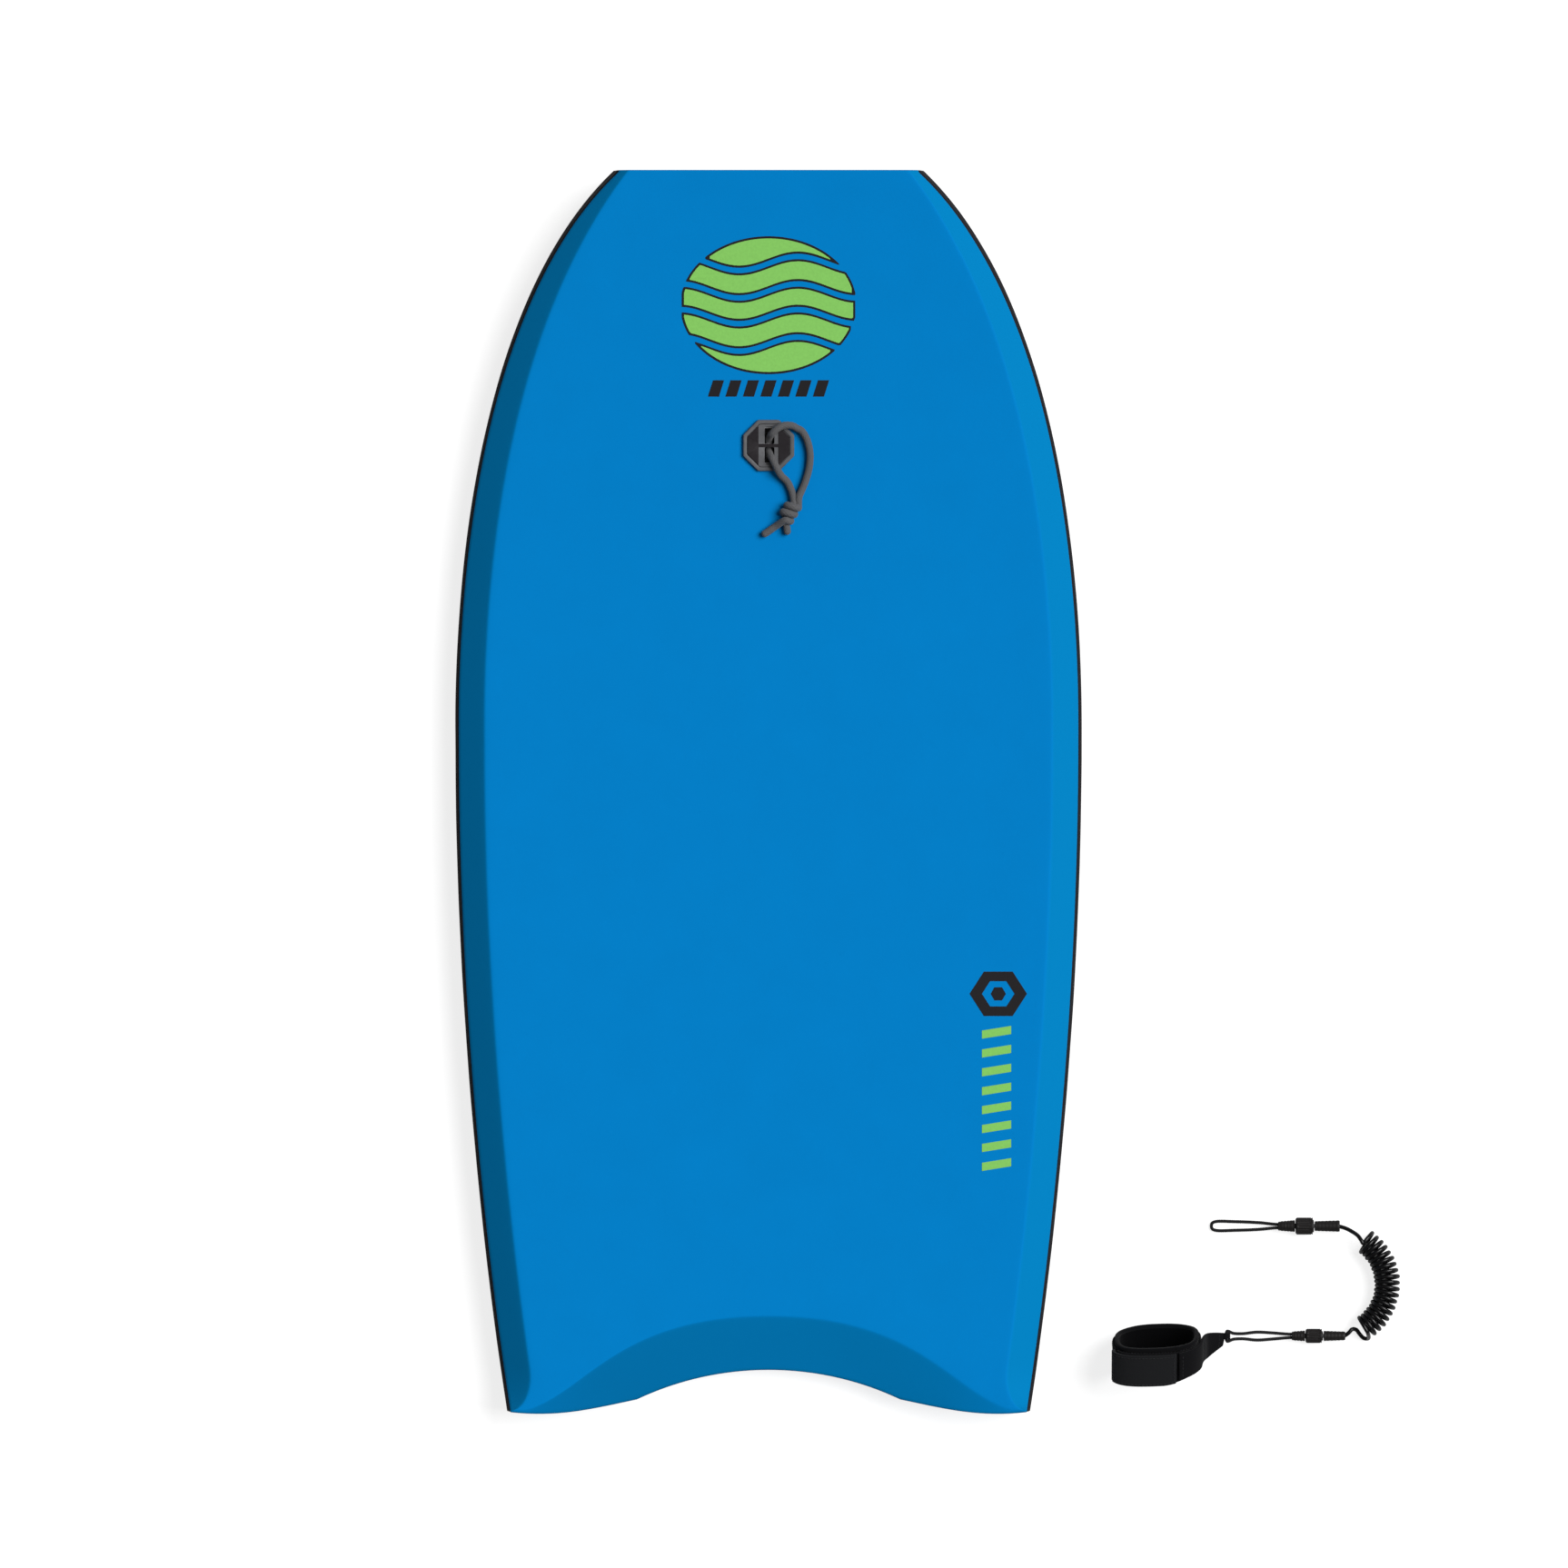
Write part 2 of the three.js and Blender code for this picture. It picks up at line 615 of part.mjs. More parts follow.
// A swivel's own frame: Y along its axis, from the string side to the coil side. The pin's head
// turns in the housing, and the collar keeps it in.
function buildSwivel(letter, { x, y, z, radius, half }, stringSleeve, coilSleeve) {
  const swivel = new THREE.Group();
  swivel.position.set(x, y, z);
  swivel.rotation.z = -Math.PI / 2;
  board.add(swivel);
  const cavity = radius - 1.7;
  const housing = lathe([
    [0, -half - 4],
    [2.2, -half - 4],
    [2.2, -half],
    [radius - 1, -half],
    [radius, -half + 1.2],
    [radius, half - 0.8],
    [radius - 0.6, half],
    [cavity, half],
    [cavity, -half + 2.2],
    [0, -half + 2.2],
  ]);
  const collar = lathe([
    [2.4, half - 3],
    [cavity - 0.3, half - 3],
    [cavity - 0.3, half + 0.6],
    [cavity - 1, half + 1],
    [2.4, half + 1],
  ]);
  const pin = lathe([
    [0, -half + 2.8],
    [cavity - 0.5, -half + 2.8],
    [cavity - 0.5, half - 3.5],
    [2, half - 3.5],
    [2, half + 9],
    [0, half + 9],
  ]);
  addMesh(swivel, `swivel_${letter}_housing`, housing, RUBBER_BLACK);
  addMesh(swivel, `swivel_${letter}_collar`, collar, RUBBER_BLACK);
  addMesh(swivel, `swivel_${letter}_pin`, pin, STEEL);
  const near = -half - 0.5;
  addMesh(swivel, `sleeve_${letter}_string`, lathe([
    [3.1, near],
    [stringSleeve.wide, near],
    [stringSleeve.narrow, near - stringSleeve.length],
    [3.1, near - stringSleeve.length],
  ].reverse()), RUBBER_BLACK);
  const far = half + 1.6;
  addMesh(swivel, `sleeve_${letter}_coil`, lathe([
    [2.4, far],
    [coilSleeve.near, far],
    [coilSleeve.far, far + coilSleeve.length],
    [2.4, far + coilSleeve.length],
  ]), RUBBER_BLACK);
}

// The leash's loop of string that is passed through the plug cord.
function buildBoardLoop() {
  const { x, y, z, half } = SWIVEL_B;
  const end = x - half - 6;
  const left = 379.6 + STRING_RADIUS;
  const strand = (side) => points(
    [end, y + side * 1.5, z],
    [end - 11, y + side * 1.5, z - 0.4],
    [end - 24, y + side * 2.8, 4.4],
    [end - 45, y + side * 3.7, 2],
    [left + 2.5, y + side * 3.6, 1.7],
    [left, y + side * 2, 1.7],
  );
  const path = [...strand(1), ...strand(-1).reverse()];
  addMesh(board, "board_loop", cord(path, STRING_RADIUS, 46), STRING_BLACK);
}

// A point of the coil: share runs from 0 at the cuff's end to 1 at the board's end.
function coilPoint(share) {
  const arc = lerp(-COIL_HALF_ANGLE, COIL_HALF_ANGLE, share);
  const turn = 2 * Math.PI * COIL_TURNS * share - Math.PI / 2;
  const out = COIL_RADIUS * Math.cos(turn);
  const reach = COIL_ARC_RADIUS + out;
  return new THREE.Vector3(
    COIL_ARC_CENTRE.x + reach * Math.cos(arc),
    COIL_ARC_CENTRE.y + reach * Math.sin(arc),
    COIL_RADIUS + COIL_CORD_RADIUS + 0.3 + COIL_RADIUS * Math.sin(turn),
  );
}

function buildCoil() {
  const perTurn = 10;
  const path = points(
    [SWIVEL_A.x + SWIVEL_A.half + 11, SWIVEL_A.y, SWIVEL_A.z],
    [SWIVEL_A.x + SWIVEL_A.half + 22, SWIVEL_A.y, SWIVEL_A.z],
    [505, -471, 4.4],
  );
  for (let n = 0; n <= COIL_TURNS * perTurn; n++) path.push(coilPoint(n / (COIL_TURNS * perTurn)));
  path.push(...points(
    [503, -375.5, 4.2],
    [SWIVEL_B.x + SWIVEL_B.half + 24, SWIVEL_B.y, SWIVEL_B.z],
    [SWIVEL_B.x + SWIVEL_B.half + 11, SWIVEL_B.y, SWIVEL_B.z],
  ));
  addMesh(board, "coil_cord", cord(path, COIL_CORD_RADIUS, 216, 5), URETHANE);
}

// ---------------------------------------------------------------- assembly

buildLayers();
buildRails();
buildBumpers();
buildStringer();
buildPlug();
buildCuff();
buildTongue();
buildCuffString();
buildSwivel("a", SWIVEL_A, { wide: 4.4, narrow: 3.7, length: 11.2 }, { near: 4.4, far: 3.7, length: 18.6 });
buildSwivel("b", SWIVEL_B, { wide: 5, narrow: 3.9, length: 14.4 }, { near: 4.2, far: 4.9, length: 21.6 });
buildBoardLoop();
buildCoil();

export default board;
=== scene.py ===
"""Looks of the bodyboard and its coiled wrist leash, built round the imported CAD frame.

Lengths are written in millimetres in the row frame and become metres when a mesh is made:
X across the board, +Y to the nose, Z = 0 on the flat slick bottom.
"""

import math

import bmesh
import bpy
import numpy as np
from mathutils import Euler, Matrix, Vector, noise


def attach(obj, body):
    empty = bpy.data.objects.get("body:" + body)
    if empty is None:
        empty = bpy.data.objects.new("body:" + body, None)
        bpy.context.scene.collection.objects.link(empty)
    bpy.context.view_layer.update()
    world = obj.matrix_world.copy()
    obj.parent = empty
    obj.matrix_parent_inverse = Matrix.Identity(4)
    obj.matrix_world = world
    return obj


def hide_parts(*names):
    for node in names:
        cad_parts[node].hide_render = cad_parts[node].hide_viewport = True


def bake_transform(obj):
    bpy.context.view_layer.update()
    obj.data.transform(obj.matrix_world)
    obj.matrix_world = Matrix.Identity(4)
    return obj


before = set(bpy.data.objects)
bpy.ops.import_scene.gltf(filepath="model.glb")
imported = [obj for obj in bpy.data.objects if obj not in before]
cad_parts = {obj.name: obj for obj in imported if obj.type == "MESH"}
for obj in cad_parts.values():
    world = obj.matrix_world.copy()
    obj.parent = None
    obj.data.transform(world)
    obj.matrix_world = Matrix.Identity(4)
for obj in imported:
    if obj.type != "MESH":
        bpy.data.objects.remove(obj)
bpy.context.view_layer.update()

MM = 0.001
TAU = 2 * math.pi


# ---------------------------------------------------------------- materials

def linear(red, green, blue):
    """A display colour, 0 to 255, as the scene-linear colour a shader wants."""
    def one(value):
        value /= 255
        return value / 12.92 if value <= 0.04045 else ((value + 0.055) / 1.055) ** 2.4
    return (one(red), one(green), one(blue), 1.0)


def scaled(colour, share):
    """The colour times a share, or times one share for each channel."""
    shares = share if isinstance(share, tuple) else (share,) * 3
    return tuple(c * part for c, part in zip(colour, shares)) + (1.0,)


class Graph:
    """A material's node tree, with short calls for the nodes used here."""

    def __init__(self, name, roughness, specular=0.5, metallic=0.0):
        self.material = bpy.data.materials.new(name)
        self.material.use_nodes = True
        self.tree = self.material.node_tree
        self.shader = self.tree.nodes["Principled BSDF"]
        self.shader.inputs["Roughness"].default_value = roughness
        self.shader.inputs["Specular IOR Level"].default_value = specular
        self.shader.inputs["Metallic"].default_value = metallic
        self.where = self.tree.nodes.new("ShaderNodeTexCoord").outputs["Object"]
        self.height = None

    def node(self, kind, inputs=None, **settings):
        made = self.tree.nodes.new(kind)
        for key, value in settings.items():
            setattr(made, key, value)
        for key, value in (inputs or {}).items():
            if isinstance(value, bpy.types.NodeSocket):
                self.tree.links.new(value, made.inputs[key])
            else:
                made.inputs[key].default_value = value
        return made

    def link(self, value, name):
        self.tree.links.new(value, self.shader.inputs[name])

    def stretched(self, scale):
        return self.node("ShaderNodeMapping", {"Vector": self.where, "Scale": scale}).outputs[0]

    def noise(self, size_mm, detail=3.0, rough=0.55, at=None):
        """Smooth noise whose features are about this many millimetres wide."""
        inputs = {"Vector": at or self.where, "Scale": 1 / (size_mm * MM), "Detail": detail,
                  "Roughness": rough}
        return self.node("ShaderNodeTexNoise", inputs).outputs["Fac"]

    def cells(self, size_mm):
        inputs = {"Vector": self.where, "Scale": 1 / (size_mm * MM)}
        return self.node("ShaderNodeTexVoronoi", inputs).outputs["Distance"]

    def waves(self, size_mm, direction):
        inputs = {"Vector": self.where, "Scale": 1 / (size_mm * MM * math.pi)}
        made = self.node("ShaderNodeTexWave", inputs, bands_direction=direction)
        return made.outputs["Fac"]

    def spread(self, value, low, high, from_low=0.3, from_high=0.7):
        """The value, mapped from one range to another and kept inside it."""
        inputs = {"Value": value, "From Min": from_low, "From Max": from_high,
                  "To Min": low, "To Max": high}
        return self.node("ShaderNodeMapRange", inputs).outputs[0]

    def math(self, operation, first, second):
        return self.node("ShaderNodeMath", {0: first, 1: second}, operation=operation).outputs[0]

    def mix(self, factor, first, second):
        made = self.node("ShaderNodeMix", None, data_type="RGBA")
        for name, value in {"Factor": factor, "A": first, "B": second}.items():
            socket = next(s for s in made.inputs if s.name == name and s.enabled)
            if isinstance(value, bpy.types.NodeSocket):
                self.tree.links.new(value, socket)
            else:
                socket.default_value = value
        return next(s for s in made.outputs if s.enabled)

    def colour(self, value):
        self.link(value, "Base Color")

    def shade(self, colour, value, amount):
        """The colour made lighter and darker by up to this share, by a 0 to 1 value."""
        return self.mix(value, scaled(colour, 1 - amount), scaled(colour, 1 + amount))

    def bump(self, value, depth_mm, strength=1.0):
        inputs = {"Height": value, "Distance": depth_mm * MM, "Strength": strength}
        if self.height is not None:
            inputs["Normal"] = self.height
        self.height = self.node("ShaderNodeBump", inputs).outputs[0]
        self.link(self.height, "Normal")

    def worn_edges(self, colour, worn):
        """The colour, going to the worn one where the surface is a sharp outer edge."""
        pointiness = self.node("ShaderNodeNewGeometry").outputs["Pointiness"]
        edge = self.spread(pointiness, 0, 1, 0.53, 0.62)
        broken = self.math("MULTIPLY", edge, self.noise(1.5))
        return self.mix(broken, colour, worn)


def foam(name, colour, variation, specular, stretched=(1, 1, 1)):
    """Closed-cell foam skin: faint cells, tiny pits, a slight cloudiness of colour.

    Painted shade: where the surface slopes away from flat, each colour channel is scaled by its
    share in `stretched`, which darkens the chines and the tail bevel. Painted shade and light: what
    faces the tail is painted darker to the left and lighter to the right, so that its bevel shows
    one tone under a light from the right.
    """
    g = Graph(name, 0.7, specular)
    cloud = g.noise(38, 4)
    fine = g.noise(1.3, 3)
    both = g.math("ADD", g.math("MULTIPLY", cloud, 0.5), g.math("MULTIPLY", fine, 0.5))
    base = g.shade(colour, g.spread(both, 0, 1), variation)
    normal = g.node("ShaderNodeNewGeometry").outputs["Normal"]
    facing = g.node("ShaderNodeSeparateXYZ", {0: normal}).outputs
    # Painted shade: sloped faces take the colour scaled by the shares in stretched.
    skin = g.mix(g.spread(facing["Z"], 0, 1, 0.8, 0.99), scaled(colour, stretched), base)
    # Painted shade to the left and painted light to the right on faces towards the tail, against the
    # light from the right.
    to_tail = g.spread(facing["Y"], 1, 0, -0.3, -0.12)
    tail_painted_shading = g.math("MULTIPLY", to_tail, g.spread(facing["X"], 0.15, -0.24, -0.3, 0.3))
    level = g.math("ADD", tail_painted_shading, 1.0)
    g.colour(g.node("ShaderNodeVectorMath", {0: skin, "Scale": level}, operation="SCALE").outputs[0])
    g.link(g.spread(fine, 0.62, 0.8), "Roughness")
    g.bump(g.cells(0.9), 0.05, 0.6)
    g.bump(g.noise(7, 3), 0.12, 0.5)
    return g.material


def plastic(name, colour, roughness=0.4, grain_mm=0.5, depth_mm=0.02, specular=0.4):
    """Moulded plastic: a fine spark-eroded grain and scuffed edges."""
    g = Graph(name, roughness, specular)
    cloud = g.noise(6, 4)
    base = g.shade(colour, g.spread(cloud, 0, 1), 0.12)
    worn = tuple(min(1, c * 1.5 + 0.02) for c in colour[:3]) + (1.0,)
    g.colour(g.worn_edges(base, worn))
    g.link(g.spread(g.noise(2.5), roughness - 0.08, roughness + 0.12), "Roughness")
    g.bump(g.noise(grain_mm, 2), depth_mm, 0.7)
    return g.material


def braid(name, colour, fibre_mm=0.25, shine=0.15):
    """Fibres on a braided or woven piece whose strands are real geometry."""
    g = Graph(name, 0.85, shine)
    fibre = g.noise(fibre_mm, 2, at=g.stretched((1, 1, 0.35)))
    g.colour(g.shade(colour, g.spread(fibre, 0, 1, 0.35, 0.65), 0.2))
    g.shader.inputs["Sheen Weight"].default_value = shine
    g.shader.inputs["Sheen Roughness"].default_value = 0.5
    g.bump(fibre, 0.03, 0.6)
    return g.material


def neoprene(name, colour):
    """Jersey-faced neoprene: fine knit ribs crossed by courses."""
    g = Graph(name, 0.9, 0.04)
    ribs = g.math("MULTIPLY", g.waves(0.55, "X"), g.waves(0.45, "Y"))
    g.colour(g.shade(colour, g.math("ADD", g.math("MULTIPLY", ribs, 0.6), g.noise(9)), 0.25))
    g.shader.inputs["Sheen Weight"].default_value = 0.03
    g.bump(ribs, 0.05, 0.7)
    g.bump(g.noise(5, 2), 0.15, 0.4)
    return g.material


def slick_sheet(name, colour):
    """The hard bottom sheet: glossy, with long faint scratches and a little haze."""
    g = Graph(name, 0.22, 0.5)
    scratch = g.noise(0.6, 2, at=g.stretched((1, 0.02, 1)))
    haze = g.noise(60, 5)
    g.colour(g.shade(colour, g.spread(haze, 0, 1), 0.12))
    g.link(g.spread(scratch, 0.17, 0.36, 0.35, 0.7), "Roughness")
    g.bump(scratch, 0.012, 0.4)
    g.bump(g.noise(14, 2), 0.06, 0.25)
    return g.material


def bead_foam(name, colour):
    """Bare expanded-bead foam: closely packed round beads."""
    g = Graph(name, 0.85, 0.2)
    bead = g.cells(3.2)
    g.colour(g.shade(colour, g.spread(bead, 1, 0, 0.2, 0.75), 0.06))
    g.bump(g.math("SUBTRACT", 1.0, bead), 0.5, 0.7)
    return g.material


def carbon(name):
    """Twill-woven carbon under clear resin."""
    g = Graph(name, 0.3, 0.5)
    weave = g.node("ShaderNodeTexChecker", {"Vector": g.where, "Scale": 500.0}).outputs["Fac"]
    g.colour(g.mix(g.math("MULTIPLY", weave, g.noise(0.4)), linear(22, 22, 24),
                   linear(60, 60, 64)))
    g.shader.inputs["Coat Weight"].default_value = 0.6
    g.bump(g.waves(1.6, "Y"), 0.03, 0.4)
    return g.material


def turned_steel(name):
    g = Graph(name, 0.25, 0.5, 1.0)
    rings = g.noise(0.12, 2, at=g.stretched((1, 0.05, 0.05)))
    g.colour(g.shade(linear(205, 207, 210), rings, 0.08))
    g.link(g.spread(rings, 0.2, 0.38), "Roughness")
    g.bump(rings, 0.01, 0.4)
    return g.material


def urethane(name, colour):
    """Extruded cord: glossy and nearly black, with faint drawing lines and dust."""
    g = Graph(name, 0.3, 0.3)
    lines = g.noise(1.1, 3)
    g.colour(g.shade(colour, lines, 0.4))
    g.link(g.spread(lines, 0.24, 0.4), "Roughness")
    g.shader.inputs["Coat Weight"].default_value = 0.08
    g.bump(lines, 0.03, 0.35)
    return g.material


def loop_pile(name, colour):
    """Brushed nylon loops."""
    g = Graph(name, 1.0, 0.1)
    pile = g.noise(0.35, 4, 0.8)
    g.colour(g.shade(colour, g.spread(pile, 0, 1), 0.5))
    g.shader.inputs["Sheen Weight"].default_value = 0.4
    g.bump(pile, 0.35, 0.9)
    return g.material


def ink(name, colour):
    """A screen print that lets the foam's cells show through it."""
    g = Graph(name, 0.6, 0.12)
    g.colour(g.shade(colour, g.spread(g.noise(2.2, 4), 0, 1), 0.05))
    g.bump(g.cells(0.9), 0.03, 0.5)
    return g.material


# The last three shares are painted shade on the deck foam's slopes: 12 % less red, 6.5 % less green,
# 17 % less blue.
FOAM_BLUE = foam("deck_foam", linear(1, 125, 197), 0.03, 0.02, (0.88, 0.935, 0.83))
FOAM_RAIL = foam("rail_foam", linear(24, 23, 27), 0.15, 0.1)
FOAM_CORE = bead_foam("core_foam", linear(242, 240, 234))
SLICK = slick_sheet("slick_sheet", linear(27, 27, 31))
CARBON = carbon("carbon_tube")
PLUG_GREY = plastic("plug_grey_plastic", linear(90, 91, 94), 0.45, specular=0.25)
# A lighter grey than the ring's: painted light that offsets the shade inside the plug's well and
# window liners.
WELL_PAINTED_LIGHT_GREY = plastic("plug_well_painted_light_plastic", linear(150, 151, 154), 0.45, specular=0.25)
PLUG_BLACK = plastic("plug_black_plastic", linear(27, 23, 27), 0.45, specular=0.2)
MOULDED = plastic("moulded_rubber", linear(28, 26, 26), 0.5, 0.7, 0.03, 0.2)
CORD_GREY = braid("cord_braid", linear(88, 88, 90))
STRING = braid("string_braid", linear(24, 24, 26), 0.15)
THREAD = braid("sewing_thread", linear(34, 34, 37), 0.12)
NEOPRENE = neoprene("neoprene_jersey", linear(4, 4, 5))
BINDING = braid("binding_tape", linear(11, 11, 13), 0.2, 0.05)
WEBBING = braid("strap_webbing", linear(15, 15, 17), 0.2, 0.05)
FLAP_WEBBING = braid("flap_webbing", linear(25, 26, 28), 0.2, 0.09)
LOOPS = loop_pile("loop_pile", linear(24, 24, 26))
HOOKS = plastic("hook_tape", linear(20, 20, 22), 0.35, 0.3, 0.02)
URETHANE = urethane("urethane_cord", linear(7, 7, 9))
STEEL = turned_steel("turned_steel")
INK_GREEN = ink("green_ink", linear(132, 199, 96))
INK_BLACK = ink("black_ink", linear(30, 28, 31))


# ---------------------------------------------------------------- mesh building

def placed(name, data):
    """A new object in the scene."""
    made = bpy.data.objects.new(name, data)
    bpy.context.scene.collection.objects.link(made)
    return made


def add(name, verts, faces, material, body, slot=None, stands_for=(), crease=35):
    """A closed mesh, from millimetre vertices, that rides on a CAD body."""
    mesh = bpy.data.meshes.new(name)
    mesh.from_pydata((np.asarray(verts, float) * MM).tolist(), [], faces)
    work = bmesh.new()
    work.from_mesh(mesh)
    bmesh.ops.recalc_face_normals(work, faces=work.faces)
    work.to_mesh(mesh)
    work.free()
    mesh.polygons.foreach_set("use_smooth", [True] * len(mesh.polygons))
    mesh.set_sharp_from_angle(angle=math.radians(crease))
    mesh.materials.append(material)
    piece = placed(name, mesh)
    if stands_for:
        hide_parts(*stands_for)
    if body:
        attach(piece, body)
    return piece


def loft(rings):
    """Vertices and faces through equal rings of points; the first and last are closed over."""
    rings = np.asarray(rings, float)
    count, sides = rings.shape[:2]
    index = np.arange(count * sides).reshape(count, sides)
    after = np.roll(index, -1, axis=1)
    quads = np.stack([index[:-1], after[:-1], after[1:], index[1:]], -1).reshape(-1, 4)
    faces = [*quads.tolist(), index[0][::-1].tolist(), index[-1].tolist()]
    return rings.reshape(-1, 3), faces


def looped(rings):
    """The same for rings that run round to the first again."""
    rings = np.asarray(rings, float)
    count, sides = rings.shape[:2]
    index = np.arange(count * sides).reshape(count, sides)
    onward = np.roll(index, -1, axis=0)
    after = np.roll(index, -1, axis=1)
    both = np.roll(after, -1, axis=0)
    return rings.reshape(-1, 3), np.stack([index, after, both, onward], -1).reshape(-1, 4).tolist()


def joined(parts):
    """Several meshes as one; each is its vertices and faces."""
    verts, faces, count = [], [], 0
    for some, their in parts:
        verts.append(some)
        faces += [[i + count for i in face] for face in their]
        count += len(some)
    return np.concatenate(verts), faces


def slab(top, bottom):
    """A closed solid between two equal grids of points."""
    rows, columns = top.shape[:2]
    count = rows * columns
    index = np.arange(count).reshape(rows, columns)
    quads = np.stack([index[:-1, :-1], index[:-1, 1:], index[1:, 1:], index[1:, :-1]], -1)
    quads = quads.reshape(-1, 4)
    rim = np.concatenate([index[0, :], index[1:, -1], index[-1, -2::-1], index[-2:0:-1, 0]])
    onward = np.roll(rim, -1)
    walls = np.stack([rim, onward, onward + count, rim + count], -1)
    faces = np.concatenate([quads, quads[:, ::-1] + count, walls[:, ::-1]]).tolist()
    return np.concatenate([top.reshape(-1, 3), bottom.reshape(-1, 3)]), faces


def spline(points, step):
    """Points about this far apart on a centripetal Catmull-Rom curve, and nothing beyond it."""
    p = np.asarray(points, float)
    p = np.vstack([2 * p[0] - p[1], p, 2 * p[-1] - p[-2]])
    made = []
    for a, b, c, d in zip(p[:-3], p[1:-2], p[2:-1], p[3:]):
        ta = 0.0
        tb = ta + np.linalg.norm(b - a) ** 0.5
        tc = tb + np.linalg.norm(c - b) ** 0.5
        td = tc + np.linalg.norm(d - c) ** 0.5
        t = np.linspace(tb, tc, 40, endpoint=False)[:, None]
        ab = (tb - t) / (tb - ta) * a + (t - ta) / (tb - ta) * b
        bc = (tc - t) / (tc - tb) * b + (t - tb) / (tc - tb) * c
        cd = (td - t) / (td - tc) * c + (t - tc) / (td - tc) * d
        abc = (tc - t) / (tc - ta) * ab + (t - ta) / (tc - ta) * bc
        bcd = (td - t) / (td - tb) * bc + (t - tb) / (td - tb) * cd
        made.append((tc - t) / (tc - tb) * abc + (t - tb) / (tc - tb) * bcd)
    made.append(p[-2:-1])
    return even(np.concatenate(made), step)


def run_along(points):
    """How far along the line each of its points is."""
    return np.concatenate([[0], np.cumsum(np.linalg.norm(np.diff(points, axis=0), axis=1))])


def unit(vector):
    return vector / np.linalg.norm(vector)


def even(points, step):
    """The same line with its points about this far apart."""
    run = run_along(points)
    count = max(2, int(round(run[-1] / step)) + 1)
    at = np.linspace(0, run[-1], count)
    return np.stack([np.interp(at, run, points[:, k]) for k in range(3)], -1)


def frames(path):
    """Two unit normals at each point of a path, turned as little as they can be."""
    tangent = np.gradient(path, axis=0)
    tangent /= np.linalg.norm(tangent, axis=1)[:, None]
    first = np.cross(tangent[0], (0, 0, 1.0))
    if np.linalg.norm(first) < 1e-3:
        first = np.cross(tangent[0], (1.0, 0, 0))
    normals = [unit(first)]
    for way in tangent[1:]:
        normals.append(unit(normals[-1] - way * (normals[-1] @ way)))
    normals = np.array(normals)
    return normals, np.cross(tangent, normals)


def tube(path, radius, sides, relief=None):
    """Rings of a round cord along a path, with rounded ends and an optional surface relief."""
    normal, other = frames(path)
    run = run_along(path)
    theta = np.linspace(0, TAU, sides, endpoint=False)
    r = np.full((len(path), sides), float(radius))
    if relief is not None:
        r += relief(run[:, None], theta[None, :])
    near = np.minimum(run, run[-1] - run) / (0.9 * radius)
    r *= np.sqrt(1 - (1 - np.clip(near, 0.02, 1)) ** 2)[:, None]
    around = normal[:, None] * np.cos(theta)[None, :, None]
    around = around + other[:, None] * np.sin(theta)[None, :, None]
    return path[:, None] + around * r[:, :, None]


def woven(radius, strands, depth):
    """Relief of a braided sheath: two families of strands passing over and under."""
    twist = strands * math.tan(math.radians(40)) / (2 * radius)

    def relief(run, theta):
        a = np.cos(strands * theta / 2 + twist * run)
        b = np.cos(strands * theta / 2 - twist * run)
        across = np.where(a * b > 0, np.abs(a), np.abs(b))
        onward = np.where(a * b > 0, np.abs(b), np.abs(a))
        return depth * (np.sqrt(across) * (0.55 + 0.45 * np.sqrt(onward)) - 1)
    return relief


def lathe(profile, centre, axis, segments=48, flutes=None):
    """A body of revolution about a row axis from a closed [radius, along] profile.

    flutes are count, depth, and the stretch of the axis between which they run.
    """
    theta = np.linspace(0, TAU, segments, endpoint=False)
    rings = []
    for radius, along in profile:
        r = np.full(segments, float(radius))
        if flutes:
            count, depth, low, high = flutes
            if low < along < high:
                r -= depth * (0.5 + 0.5 * np.cos(count * theta)) ** 2
        ring = np.zeros((segments, 3))
        ring[:, axis] = along
        ring[:, (axis + 1) % 3] = r * np.cos(theta)
        ring[:, (axis + 2) % 3] = r * np.sin(theta)
        rings.append(ring + np.asarray(centre, float))
    return looped(rings)


def circle(radius, count, centre=(0, 0)):
    turn = np.linspace(0, TAU, count, endpoint=False)
    return [(centre[0] + radius * math.cos(a), centre[1] + radius * math.sin(a)) for a in turn]


def rounded(corners, radius):
    """A closed outline in two dimensions with every corner rounded."""
    corners = [np.array(c, float) for c in corners]
    made = []
    for before, corner, after in zip(corners[-1:] + corners[:-1], corners,
                                     corners[1:] + corners[:1]):
        back, on = before - corner, after - corner
        lengths = np.linalg.norm(back), np.linalg.norm(on)
        cut = min(radius, 0.45 * lengths[0], 0.45 * lengths[1])
        start = corner + back / lengths[0] * cut
        end = corner + on / lengths[1] * cut
        for t in np.linspace(0, 1, 4):
            made.append((1 - t) ** 2 * start + 2 * t * (1 - t) * corner + t ** 2 * end)
    return made


def plate(outline, holes, low, high):
    """A flat plate with holes, between two heights, as vertices and faces."""
    work = bmesh.new()
    for ring in [outline, *holes]:
        corners = [work.verts.new((x, y, low)) for x, y in ring]
        for first, second in zip(corners, corners[1:] + corners[:1]):
            work.edges.new((first, second))
    bmesh.ops.triangle_fill(work, use_beauty=True, edges=work.edges[:])
    bmesh.ops.recalc_face_normals(work, faces=work.faces)
    made = bmesh.ops.extrude_face_region(work, geom=work.faces[:])
    lifted = [v for v in made["geom"] if isinstance(v, bmesh.types.BMVert)]
    for vertex in lifted:
        vertex.co.z = high
    work.verts.index_update()
    verts = [tuple(v.co) for v in work.verts]
    faces = [[v.index for v in f.verts] for f in work.faces]
    work.free()
    return np.array(verts), faces


